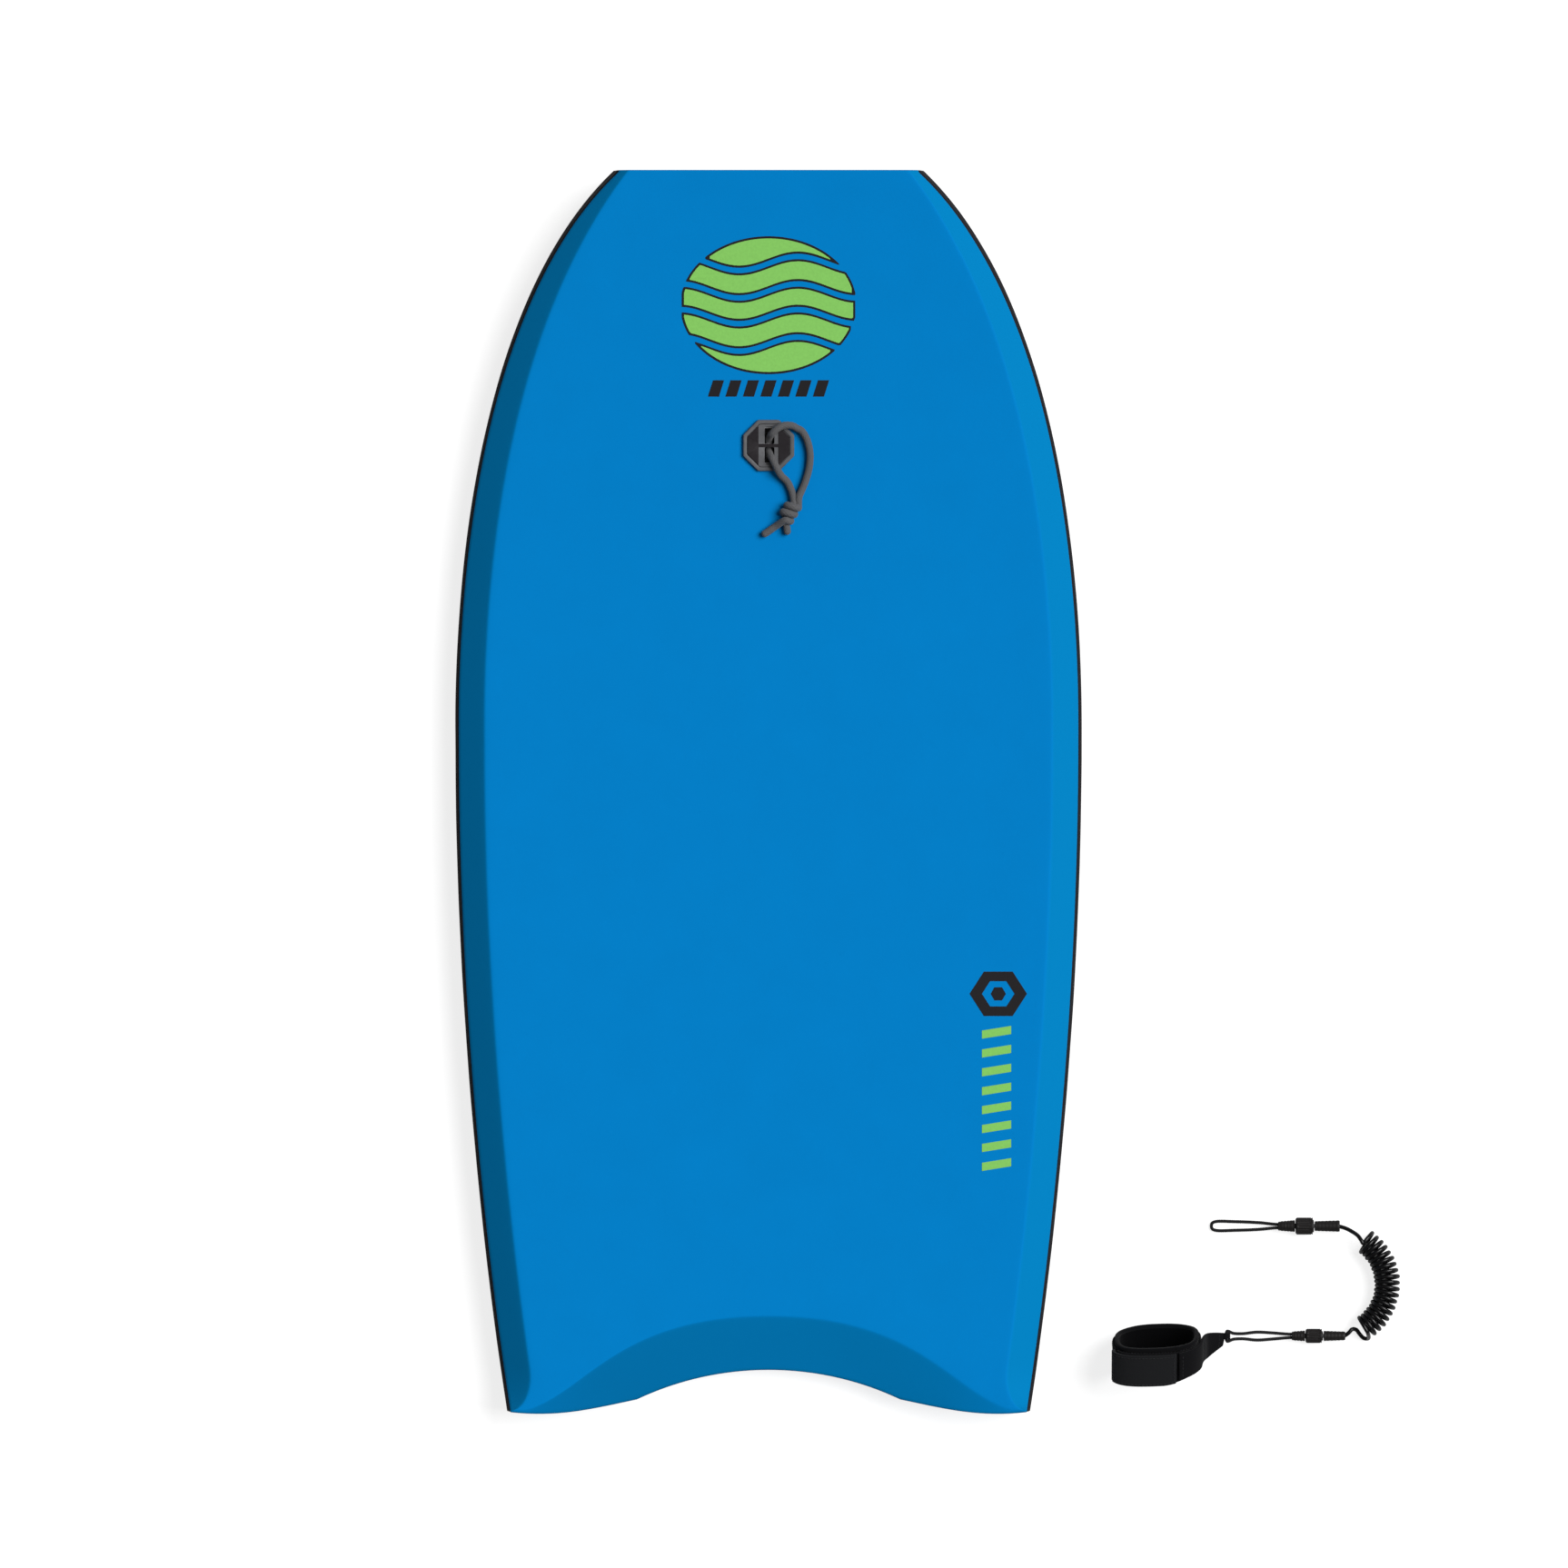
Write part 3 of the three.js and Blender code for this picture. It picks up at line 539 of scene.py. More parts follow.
def applied(piece):
    """The piece with its modifiers made part of its mesh."""
    graph = bpy.context.evaluated_depsgraph_get()
    mesh = bpy.data.meshes.new_from_object(piece.evaluated_get(graph))
    old = piece.data
    piece.modifiers.clear()
    piece.data = mesh
    bpy.data.meshes.remove(old)
    return piece


def bevelled(piece, width_mm):
    """The piece with its sharp edges rounded over."""
    modifier = piece.modifiers.new("round", "BEVEL")
    modifier.width = width_mm * MM
    modifier.segments = 2
    modifier.limit_method = "ANGLE"
    modifier.angle_limit = math.radians(40)
    applied(piece).data.set_sharp_from_angle(angle=math.radians(20))


def stitches(name, path, normal, body, pitch=3.2, length=2.3, radius=0.28, lift=0.12):
    """A row of thread stitches lying on a surface along a path."""
    spots = even(np.asarray(path, float), pitch)
    at = np.linspace(0, 1, len(spots))
    known = np.linspace(0, 1, len(normal))
    normals = np.stack([np.interp(at, known, normal[:, k]) for k in range(3)], -1)
    parts = []
    for a, b, up in zip(spots[:-1], spots[1:], normals):
        way = unit(b - a)
        side = unit(np.cross(up, way))
        middle = (a + b) / 2
        rings = []
        for t in np.linspace(-1, 1, 7):
            fat = radius * math.sqrt(max(0.06, 1 - t * t))
            rise = lift + radius * 0.5 - 0.3 * t * t * radius
            spot = middle + way * t * length / 2 + up * rise
            rings.append([spot + x * side + y * up for x, y in circle(fat, 6)])
        parts.append(loft(rings))
    return add(name, *joined(parts), THREAD, body)


# ---------------------------------------------------------------- the board's shape

NOSE_Y = 533.5
WIDE_Y = 40
TAIL_CORNER_Y = -531
CRESCENT_Y = -495.7
CRESCENT_RADIUS = 265
CRESCENT_HALF = 113
THICKNESS = 57
CHINE_WIDTH = 25.5
CHINE_SLOPE = 0.8
BEVEL_TOP_Y = -449
BEVEL_SLOPE = 0.6
BEVEL_LEAST = 3
RIM = 3.2    # rail foam showing outside the deck skin, square to the side line
RIM_NOSE = 1.2    # and what the nose adds to it
DECK_T = 5
SLICK_T = 1.8
SLICK_INSET = 14
RAIL_EDGE_Z = 23
RAIL_WALL = 16
BUMPER_T = 12
NOSE_LIFT = 24
ROCKER_START_Y = 130
CREASE = 1.1    # how softly the chine and the tail bevel break away from the flat deck
EDGE = 1.6    # rounding of the deck skin's outer edge
SEAM = 0.15    # a glued joint between two foams


def bezier(*controls):
    t = np.linspace(0, 1, 2001)[:, None]
    p, q, r, s = (np.array(c, float) for c in controls)
    return (1 - t) ** 3 * p + 3 * (1 - t) ** 2 * t * q + 3 * (1 - t) * t ** 2 * r + t ** 3 * s


SIDE_LINE = np.vstack([
    bezier((224.6, TAIL_CORNER_Y), (246, -395.6), (269, -174.5), (269, WIDE_Y)),
    bezier((269, WIDE_Y), (269, 70), (277.6, 396.8), (133, NOSE_Y))[1:],
])
TIP_LINE = bezier((CRESCENT_HALF, -521), (150, -528.5), (180, -536.6), (224.6, TAIL_CORNER_Y))
BEVEL_LINE = bezier((0, BEVEL_TOP_Y), (134.7, BEVEL_TOP_Y), (157, -518), (214, -531.5))


def half_width(y):
    return np.interp(y, SIDE_LINE[:, 1], SIDE_LINE[:, 0])


def tail_y(x):
    side = np.abs(x)
    arc = CRESCENT_Y - CRESCENT_RADIUS
    arc = arc + np.sqrt(np.maximum(CRESCENT_RADIUS ** 2 - side ** 2, 0))
    tip = np.interp(side, TIP_LINE[:, 0], TIP_LINE[:, 1])
    return np.where(side > CRESCENT_HALF, tip, arc)


def bevel_y(x):
    top = np.interp(np.abs(x), BEVEL_LINE[:, 0], BEVEL_LINE[:, 1])
    return np.maximum(top, tail_y(x) + BEVEL_LEAST)


def chine_inset(y):
    nose = 1 - 0.48 * np.exp((y - NOSE_Y) / 45)
    tail = np.clip((y - TAIL_CORNER_Y) / 38, 0, 1)
    return np.maximum(rim(y) + 2.0, CHINE_WIDTH * nose * np.sqrt(1 - (1 - tail) ** 2))


def rim(y):
    """The rail's showing width measured across the board: more where the side line slants."""
    slant = (half_width(y + 2) - half_width(y - 2)) / 4
    nose = np.clip((np.asarray(y, float) - 330) / 200, 0, 1)
    return (RIM + RIM_NOSE * nose) * np.sqrt(1 + np.minimum(slant ** 2, 1.1))


def rocker(y):
    return NOSE_LIFT * np.maximum(0, (y - ROCKER_START_Y) / (NOSE_Y - ROCKER_START_Y)) ** 2


def smooth(value, low, high):
    share = np.clip((np.asarray(value, float) - low) / (high - low), 0, 1)
    return share * share * (3 - 2 * share)


def soft(t):
    """Zero, then rising one for one after t = 0, with the corner rounded."""
    return (t + np.sqrt(t * t + CREASE * CREASE)) / 2


def deck_top(x, y):
    chine = CHINE_SLOPE * soft(np.abs(x) - (half_width(y) - chine_inset(y)))
    flatter = 1 - 0.3 * smooth(np.abs(x), 50, 190)
    bevel = BEVEL_SLOPE * flatter * soft(bevel_y(x) - y)
    return THICKNESS + rocker(y) - np.maximum(chine, bevel)


def edge_drop(distance, radius):
    """How far a rounded edge has fallen at this distance in from it."""
    near = np.clip(1 - distance / radius, 0, 1)
    return radius * (1 - np.sqrt(1 - near ** 2))


def layer_grid(edge, columns=34, rows=150):
    """x and y of a fine grid that covers a layer, close-set at every crease and outer edge.

    The third array is each point's distance in from the layer's edge. Across, 0 to 1 is the
    flat deck and 1 to 2 the chine; along, 0 to 1 is the tail bevel and 1 to 2 the rest.
    """
    flat = np.concatenate([np.linspace(0, 0.94, columns), [0.965, 0.98, 0.988, 0.993, 0.997, 1]])
    slope = np.array([0.03, 0.07, 0.13, 0.25, 0.4, 0.55, 0.7, 0.82, 0.9, 0.94, 0.97, 0.985,
                      0.995, 1])
    half = np.concatenate([flat, 1 + slope])
    across = np.concatenate([-half[:0:-1], half])
    bevel = np.array([0, 0.002, 0.006, 0.014, 0.03, 0.06, 0.12, 0.25, 0.4, 0.55, 0.7, 0.82, 0.9,
                      0.94, 0.965, 0.98, 0.99, 1])
    run = (1 - np.cos(np.linspace(0, math.pi, rows))) / 2
    run = np.unique(np.concatenate([run, [0.001, 0.002, 0.004, 0.007, 0.9985, 0.9993, 0.9998]]))
    along = np.concatenate([bevel, 1 + run[1:]])
    u, v = np.meshgrid(across, along)
    y = np.interp(v, [0, 1, 2], [CRESCENT_Y, BEVEL_TOP_Y, NOSE_Y])
    for _ in range(24):
        outer = edge(y)
        crease = np.minimum(half_width(y) - chine_inset(y), outer - 1)
        size = np.abs(u)
        x = np.where(size <= 1, size * crease, crease + (size - 1) * (outer - crease)) * np.sign(u)
        low = tail_y(x)
        high = np.maximum(bevel_y(x), low + 1.5)
        y = np.where(v <= 1, low + (high - low) * v, high + (NOSE_Y - high) * (v - 1))
    return x, y, np.minimum.reduce([edge(y) - np.abs(x), y - low, NOSE_Y - y])


def waviness(x, y, z, size, amount):
    """A slight unevenness of a foam face, from smooth noise."""
    flat = np.stack([x, y, z], -1).reshape(-1, 3) / size
    made = np.array([noise.noise(Vector(p)) for p in flat])
    return amount * made.reshape(x.shape)


PLUG_Y = 297.7
PLUG_SLOPE = math.atan(2 * NOSE_LIFT * (PLUG_Y - ROCKER_START_Y) / (NOSE_Y - ROCKER_START_Y) ** 2)
PLUG_AT = np.array([0, PLUG_Y, THICKNESS + float(rocker(PLUG_Y))])
PLUG_TURN = np.array(Euler((PLUG_SLOPE, 0, 0)).to_matrix())
PLUG_HOLE_RADIUS = 18.4


def bored(piece, centre):
    """Cuts the plug's hole through the piece."""
    verts, faces = loft([[(x, y, z) for x, y in circle(PLUG_HOLE_RADIUS, 48)]
                         for z in (-20, 20)])
    cutter = add("cutter", verts @ PLUG_TURN.T + centre, faces, FOAM_BLUE, None)
    modifier = piece.modifiers.new("hole", "BOOLEAN")
    modifier.operation = "DIFFERENCE"
    modifier.solver = "EXACT"
    modifier.object = cutter
    applied(piece)
    bpy.data.objects.remove(cutter)


def build_layers():
    x, y, inward = layer_grid(lambda at: half_width(at) - rim(at))
    body = deck_top(x, y)
    top = body - edge_drop(inward, EDGE) + waviness(x, y, body, 60, 0.12)
    deck = slab(np.stack([x, y, top], -1), np.stack([x, y, body - DECK_T], -1))
    piece = add("deck", *deck, FOAM_BLUE, "board", "deck_foam", ["deck_skin"], 50)
    bored(piece, PLUG_AT)

    x, y, inward = layer_grid(lambda at: half_width(at) - SLICK_INSET, 20, 110)
    under = rocker(y) + edge_drop(inward, 1.0) * 0.9
    slick = slab(np.stack([x, y, rocker(y) + SLICK_T], -1), np.stack([x, y, under], -1))
    piece = add("slick", *slick, SLICK, "board", "slick", ["slick_skin"], 40)
    bored(piece, PLUG_AT - (0, 0, THICKNESS))


def rail(name, side, section, stands_for):
    """A rail strip lofted along one side; section(y) gives its closed outline as [inset, z]."""
    run = (1 - np.cos(np.linspace(0, math.pi, 170))) / 2
    rings = []
    for y in TAIL_CORNER_Y + (NOSE_Y - TAIL_CORNER_Y) * run:
        rings.append([(side * (half_width(y) - inset), y, z) for inset, z in section(y)])
    verts, faces = loft(rings)
    verts[:, 0] += waviness(*verts.T, 45, 0.15)
    add(name, verts, faces, FOAM_RAIL, "board", "rail_foam", [stands_for], 40)


def upper_section(y):
    """The strip above the widest line, tucked under the deck skin."""
    lift = float(rocker(y))
    shown = float(rim(y))
    outer = float(deck_top(half_width(y) - shown, y)) - DECK_T - SEAM
    inner = float(deck_top(half_width(y) - RAIL_WALL, y)) - DECK_T - SEAM
    edge = lift + RAIL_EDGE_Z + 0.25
    face = [(0.1, edge + 0.9), (shown * 0.2, edge + 3.2), (shown * 0.45, (edge + outer) / 2 + 1),
            (shown * 0.78, outer - 1.3), (shown * 0.95, outer - 0.4)]
    return [(RAIL_WALL, edge), (0.9, edge), (0.3, edge + 0.3), *face, (shown + 0.9, outer),
            (RAIL_WALL, inner)]


def lower_section(y):
    """The strip below the widest line, tucked in to the slick's edge."""
    lift = float(rocker(y))
    edge = lift + RAIL_EDGE_Z - 0.25
    foot = lift + SLICK_T + SEAM
    toe = SLICK_INSET * (1 - (SLICK_T + SEAM) / RAIL_EDGE_Z)
    face = [(toe * 0.93, foot + 0.7), (toe * 0.66, foot + 6.0), (toe * 0.33, foot + 13.2),
            (0.4, edge - 1.2)]
    return [(RAIL_WALL, foot), (toe + 0.6, foot), *face, (0.3, edge - 0.3), (0.9, edge),
            (RAIL_WALL, edge)]


def build_rails():
    for side, word in ((-1, "left"), (1, "right")):
        rail(f"upper_rail_{word}", side, upper_section, f"rail_upper_{word}")
        rail(f"lower_rail_{word}", side, lower_section, f"rail_lower_{word}")


def bumper(name, x, outer, inner, stands_for):
    """A foam strip across an end of the board, between the deck skin and the slick."""
    rings = []
    for at, out, back in zip(x, outer, inner):
        ring = []
        for share, depth in ((0, 1), (0.02, 0.06), (0.05, 0.015), (0.3, 0), (0.7, 0),
                             (0.95, 0.015), (0.98, 0.06), (1, 1)):
            y = out + (back - out) * depth
            low = float(rocker(y)) + SLICK_T + SEAM
            high = float(deck_top(at, y)) - DECK_T - SEAM
            ring.append((at, y, low + (high - low) * share))
        rings.append(ring)
    verts, faces = loft(rings)
    verts[:, 1] += waviness(*verts.T, 30, 0.2)
    add(name, verts, faces, FOAM_BLUE, "board", "deck_foam", [stands_for], 50)


def build_bumpers():
    end = half_width(TAIL_CORNER_Y) - RAIL_WALL - 0.6
    x = np.linspace(-end, end, 121)
    bumper("tail_strip", x, tail_y(x) + 0.4, tail_y(x) + BUMPER_T, "tail_bumper")
    end = half_width(NOSE_Y) - RAIL_WALL - 0.6
    x = np.linspace(-end, end, 61)
    nose = np.full(len(x), NOSE_Y)
    bumper("nose_strip", x, nose - 0.4, nose - BUMPER_T, "nose_bumper")


# ---------------------------------------------------------------- prints on the deck

PRINT_T = 0.12
PRINT_EDGE = 1.9    # black outline round the green
WAVES_Y = 417.7
WAVES_HALF = (75.6, 59.0)
BARS_Y = 346.5
BAR_PITCH = 15
SIDE_MARK = (197, -172.5)
DASHES_X = (183, 208)
DASHES_Y = -205.5    # and on from here towards the tail
DASH_PITCH = 16.2


def film(name, outlines, material, lift):
    """Thin ink that follows the deck: outlines in x and y, cut finely so that it can curve."""
    work = bmesh.new()
    for ring in outlines:
        work.faces.new([work.verts.new((x, y, 0)) for x, y in ring])
    spread = [p[1] for ring in outlines for p in ring]
    for y in np.arange(min(spread) + 2, max(spread), 4.0):
        bmesh.ops.bisect_plane(work, geom=work.verts[:] + work.edges[:] + work.faces[:],
                               plane_co=(0, y, 0), plane_no=(0, 1, 0))
    for face in work.faces:
        face.normal_update()
    flipped = [f for f in work.faces if f.normal.z < 0]
    bmesh.ops.reverse_faces(work, faces=flipped)
    made = bmesh.ops.extrude_face_region(work, geom=work.faces[:])
    lifted = {v for v in made["geom"] if isinstance(v, bmesh.types.BMVert)}
    work.verts.index_update()
    verts = []
    for vertex in work.verts:
        x, y, _ = vertex.co
        z = float(deck_top(x, y)) + lift + (PRINT_T if vertex in lifted else 0)
        verts.append((x, y, z))
    faces = [[v.index for v in f.verts] for f in work.faces]
    work.free()
    add(name, verts, faces, material, "board")


def wave_band(low, high, grow):
    """A wavy band cut to an oval, with its outline moved out by grow."""
    wide, tall = (half - PRINT_EDGE + grow for half in WAVES_HALF)
    x = np.linspace(-wide, wide, 121)[1:-1]
    wave = 6.0 * np.sin(x / WAVES_HALF[0] * math.pi * 1.5)
    limit = tall * np.sqrt(1 - (x / wide) ** 2)
    under = np.maximum(low - grow + wave, -limit)
    over = np.minimum(high + grow + wave, limit)
    keep = over - under > 0.6
    x, under, over = x[keep], WAVES_Y + under[keep], WAVES_Y + over[keep]
    return [*zip(x, under), *zip(x[::-1], over[::-1])]


def leaning_bar(x, y, half_x, half_y, lean):
    low, high = y - half_y, y + half_y
    return [(x - half_x - lean, low), (x + half_x - lean, low),
            (x + half_x + lean, high), (x - half_x + lean, high)]


def hexagon(wide, tall):
    turn = np.arange(6) * math.pi / 3
    return [(SIDE_MARK[0] + wide * math.cos(a), SIDE_MARK[1] + tall * math.sin(a)) for a in turn]


def build_prints():
    """Generic prints: a wavy oval over a row of bars, and a hexagon over a row of dashes."""
    bands = [(-62, -37.5), (-29, -14), (-5.5, 8), (16.5, 31.5), (40, 62)]
    film("nose_print_edge", [wave_band(a, b, PRINT_EDGE) for a, b in bands], INK_BLACK, 0.10)
    film("nose_print_fill", [wave_band(a, b, 0) for a, b in bands], INK_GREEN, 0.24)
    bars = [leaning_bar(BAR_PITCH * n, BARS_Y, 4.75, 7, 2.2) for n in range(-3, 4)]
    film("nose_print_bars", bars, INK_BLACK, 0.12)

    outer, inner = (hexagon(size * 1.12, size) for size in (22.0, 12.5))
    sides = [[outer[n], outer[(n + 1) % 6], inner[(n + 1) % 6], inner[n]] for n in range(6)]
    film("side_print_mark", [*sides, hexagon(6.5, 6.5)], INK_BLACK, 0.12)
    left, right = DASHES_X
    dashes = [[(left, y - 5.5), (right, y - 1.5), (right, y + 5.5), (left, y + 1.5)]
              for y in DASHES_Y - DASH_PITCH * np.arange(8)]
    film("side_print_dashes", dashes, INK_GREEN, 0.12)


# ---------------------------------------------------------------- leash plug and cord

def to_plug(points):
    """From the plug's own frame, Z = 0 on the deck and Z up its axis, to the row frame."""
    return np.asarray(points, float) @ PLUG_TURN.T + PLUG_AT


def octagon(flats):
    """The plug's outline, from its size across flats."""
    reach = flats / 2 / math.cos(math.pi / 8)
    turn = math.pi / 8 + np.arange(8) * math.pi / 4
    return rounded([(reach * math.cos(a), reach * math.sin(a)) for a in turn], 1.2)


WINDOW = (-3.3, 5.0, 1.35, 16.2)    # left, right, nearest the bar, farthest from the bar


def window(side, grow=0.0):
    """One of the two openings beside the bar that the cord goes round."""
    left, right, near, far = WINDOW
    corners = [(left - grow, near - grow), (right + grow, near - grow),
               (right + grow, far + grow), (left - grow, far + grow)]
    return rounded([(x, side * y) for x, y in corners][::side], 1.2)


def plug_part(name, part, material, stands_for=()):
    verts, faces = part
    slot = "plug_black" if material is PLUG_BLACK else "plug_grey"
    return add(name, to_plug(verts), faces, material, "board", slot, stands_for)


def build_plug():
    ring = [(30.8, 0.15), (43.2, 0.15), (43.8, 0.5), (44, 1.2), (44, 2.3), (43.5, 3.1),
            (42.6, 3.55), (41.4, 3.6), (38.2, 3.6), (37.3, 3.4), (36.9, 2.9), (36.9, 2.0),
            (30.8, 2.0)]
    rings = [[(x, y, z) for x, y in octagon(flats)] for flats, z in ring]
    plug_part("plug_ring_body", looped(rings), PLUG_GREY, ["plug_ring"])
    # The well and the window liners are painted a lighter grey, as painted light against the shade
    # inside them.
    well = [(15.2, 1.95), (17.6, 1.95), (18, 0.4), (18, -28.6), (13, -28.6), (13, -16.6),
            (10, -16.6), (10, -14.2), (14.4, -14.2), (15.2, -13.4)]
    plug_part("plug_well", lathe(well, (0, 0, 0), 2), WELL_PAINTED_LIGHT_GREY)

    frame_plate = plate(octagon(36.2), [window(1), window(-1)], 2.1, 3.3)
    bevelled(plug_part("plug_frame", frame_plate, PLUG_GREY), 0.3)
    quarter = [(8.6, 1.35), (8.6, 16.8), (18.0, 7.4)]
    right = quarter + [(x, -y) for x, y in reversed(quarter)]
    face = plate(rounded(right + [(-x, -y) for x, y in right], 0.5), [], 3.2, 3.9)
    bevelled(plug_part("plug_face", face, PLUG_BLACK, ["plug_insert"]), 0.25)
    for number, side in enumerate((1, -1), 1):
        rings = [[(x, y, z) for x, y in window(side, grow)]
                 for grow, z in ((0.05, 2.1), (1.1, 2.1), (1.1, -3.0), (0.05, -3.0))]
        plug_part(f"plug_liner_{number}", looped(rings), WELL_PAINTED_LIGHT_GREY)

    under = -THICKNESS - 0.4
    screws = [circle(2.2, 16, (15 * math.cos(a), 15 * math.sin(a)))
              for a in (np.arange(4) + 0.5) * math.pi / 2]
    flange = plate(circle(23.5, 64), screws, under - 2.2, under)
    bevelled(plug_part("plug_base_flange", flange, PLUG_GREY, ["plug_base"]), 0.6)
    spigot = [(0.4, under + 0.1), (17.7, under + 0.1), (17.7, -29.4), (12.6, -29.4),
              (12.6, -17.4), (0.4, -17.4)]
    plug_part("plug_base_spigot", lathe(spigot, (0, 0, 0), 2), PLUG_GREY)


CORD_RADIUS = 3.1
FOLD_NEAR = (12, -27, 4.4)    # where the cord's two sides cross the line it lifts about
FOLD_FAR = (28, 13, 4.4)
KNOT_TOP = np.array((22.1, -49.8, 6.9))
KNOT_FOOT = np.array((14.1, -63.4, 6.9))
KNOT_WRAPS = 2.4


def build_plug_cord():
    """One braided cord: a tail, through the knot, round the plug's bar and back to wrap it."""
    down = KNOT_FOOT - KNOT_TOP
    side = np.cross(unit(down), (0, 0, 1.0))
    wraps = []
    for share in np.arange(41) / 40:
        turn = TAU * KNOT_WRAPS * share - 0.35 * math.pi
        spot = KNOT_TOP + down * share
        wraps.append(spot - side * 4.9 * math.cos(turn) + np.array((0, 0, 3.3)) * math.sin(turn))
    start = [(16.4, -76.5, 5.0), (15.8, -71.0, 5.0), (15.2, -65, 6.0), (18.2, -57, 6.9),
             (21.4, -50, 6.0), (20.9, -43, 4.4), (18.8, -36.5, 3.9), (16, -31, 4.0)]
    middle = [FOLD_NEAR, (9.8, -24.3, 5.8), (8, -21, 7.6), (5.6, -16, 8), (3, -10.8, 6.8),
              (1.2, -7.6, 1.5), (0.5, -3.5, -4), (0.5, 3.5, -4), (1.2, 7.6, 1.5),
              (3.2, 10.5, 6.8), (7.8, 14.8, 8), (13, 17.3, 7.6), (20, 17.2, 6.2),
              (25, 14.6, 4.9), FOLD_FAR]
    back = [(32.5, 6, 3.9), (35.5, -6, 3.8), (34.8, -19, 3.8), (31.5, -31, 3.9),
            (28.2, -39, 4.4), (26.0, -44.5, 5.6)]
    end = [(6.5, -68.9, 5.2), (0.9, -72.9, 4.7), (-5.6, -77.2, 4.7)]
    path = spline([*start, *middle, *back, *wraps[2:], *end], 0.3)
    rings = tube(path, CORD_RADIUS, 64, woven(CORD_RADIUS, 8, 0.42))
    verts, faces = loft(rings)
    piece = add("plug_cord_braid", to_plug(verts), faces, CORD_GREY, None, "cord_grey",
                ["plug_cord_bight", "plug_cord_loop"], 60)
    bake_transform(piece)


# ---------------------------------------------------------------- wrist cuff

CUFF_AT = np.array((333, -482.9, 36.2))
CUFF_TURN = np.array(Euler((math.pi / 2 + math.radians(22), 0, 0)).to_matrix())
CUFF_HALF = (38, 32.5)
CUFF_GIRTH = 234.0    # roughly, once round
STRAP = (-15.0, 13.6)    # the strap's and the pad's edges along the wrist
PAD = (-18.2, 15.2)
FLAP_END = 66    # degrees round the cuff from its right side, at the flap's free edge
FLAP_ROOT = 152    # and where the flap is sewn down


def cuff_outline():
    """The cuff's section as a table of angle, x, y and outward normal; each quarter is even."""
    turn = np.linspace(0, TAU, 4001)
    c, s = np.cos(turn), np.sin(turn)
    power = 2 / np.where(s >= 0, 2.9, 2.3)
    x = CUFF_HALF[0] * np.sign(c) * np.abs(c) ** power
    y = CUFF_HALF[1] * np.sign(s) * np.abs(s) ** power
    dent = 0.45 * np.sin(3 * turn + 0.5) - 0.25 * np.sin(5 * turn)
    x, y = x + dent * c * np.abs(s), y + dent * s * np.abs(c)
    run = run_along(np.stack([x, y], -1))
    quarters = run[[0, 1000, 2000, 3000, 4000]]
    angle = np.interp(run, quarters, np.arange(5) * math.pi / 2)
    even_angle = np.linspace(0, TAU, 2001)
    x, y = np.interp(even_angle, angle, x), np.interp(even_angle, angle, y)
    tangent = np.stack([np.gradient(x), np.gradient(y)], -1)
    kernel = np.ones(61) / 61
    wrapped = np.vstack([tangent[-31:-1], tangent, tangent[1:31]])
    tangent = np.stack([np.convolve(wrapped[:, k], kernel, "valid") for k in (0, 1)], -1)
    tangent /= np.linalg.norm(tangent, axis=1)[:, None]
    return even_angle, x, y, tangent[:, 1], -tangent[:, 0]


CUFF_ANGLE, *CUFF_COLUMNS = cuff_outline()


def round_cuff(angle):
    """x, y and the outward normal at an angle round the strap's outside."""
    at = np.mod(angle, TAU)
    return [np.interp(at, CUFF_ANGLE, column) for column in CUFF_COLUMNS]


def cuff_point(angle, off, along):
    """A point of the cuff: angle in radians round it, off the strap's outside, along the wrist."""
    x, y, normal_x, normal_y = round_cuff(angle)
    x, y = x + off * normal_x, y + off * normal_y
    right = smooth(x, 4, 39)
    pulled = np.where(np.asarray(along) > 0, along * (1 - 0.32 * right), along)
    pulled = pulled - 1.7 * x / CUFF_HALF[0] - 1.2 * right + 2.0 * smooth(-y, 2, 30)
    local = np.stack(np.broadcast_arrays(x, y, pulled), -1)
    return local @ CUFF_TURN.T + CUFF_AT


def outward(low, high, count=160):
    _, _, x, y = round_cuff(np.radians(np.linspace(low, high, count)))
    return np.stack([x, y, 0 * x], -1) @ CUFF_TURN.T


def rim_path(low, high, off, along):
    return cuff_point(np.radians(np.linspace(low, high, 160)), off, np.full(160, float(along)))


def band(low, high, inside, outside, span, relief, step, rows, edge):
    """A curved strap as a closed solid with rounded edges: angles in degrees from the right."""
    arc = math.radians(high - low) / TAU * CUFF_GIRTH
    angle = np.radians(np.linspace(low, high, max(8, int(arc / step))))
    share = np.linspace(0, 1, rows)
    middle_line, height = (span[0] + span[1]) / 2, span[1] - span[0]
    across = (share - np.sin(TAU * share) / TAU * 0.6 - 0.5) * height
    turn, along = np.meshgrid(angle, across)
    run = (turn - angle[0]) / TAU * CUFF_GIRTH
    near = np.minimum.reduce([height / 2 - np.abs(along), run, arc - run])
    middle, half = (inside + outside) / 2, (outside - inside) / 2
    round_off = half * np.sqrt(1 - (1 - np.clip(near / edge, 0.05, 1)) ** 2)
    up = round_off + (relief(run, along) if relief else 0)
    outer = cuff_point(turn, middle + up, along + middle_line)
    inner = cuff_point(turn, middle - round_off, along + middle_line)
    return slab(outer, inner)


def webbing_relief(run, along):
    """Plain-woven tape: warp ends that pass over and under the weft."""
    a, b = np.cos(TAU * along / 1.15 / 2), np.sin(TAU * run / 1.5 / 2)
    over = a * b > 0
    return 0.22 * (np.where(over, np.abs(a * b) ** 0.5, 0.55 * np.abs(a) ** 0.5) - 0.6)


def tape_band(low, high, inside, outside, edge):
    """A band of woven tape as wide as the strap."""
    return band(low, high, inside, outside, STRAP, webbing_relief, 0.42, 84, edge)


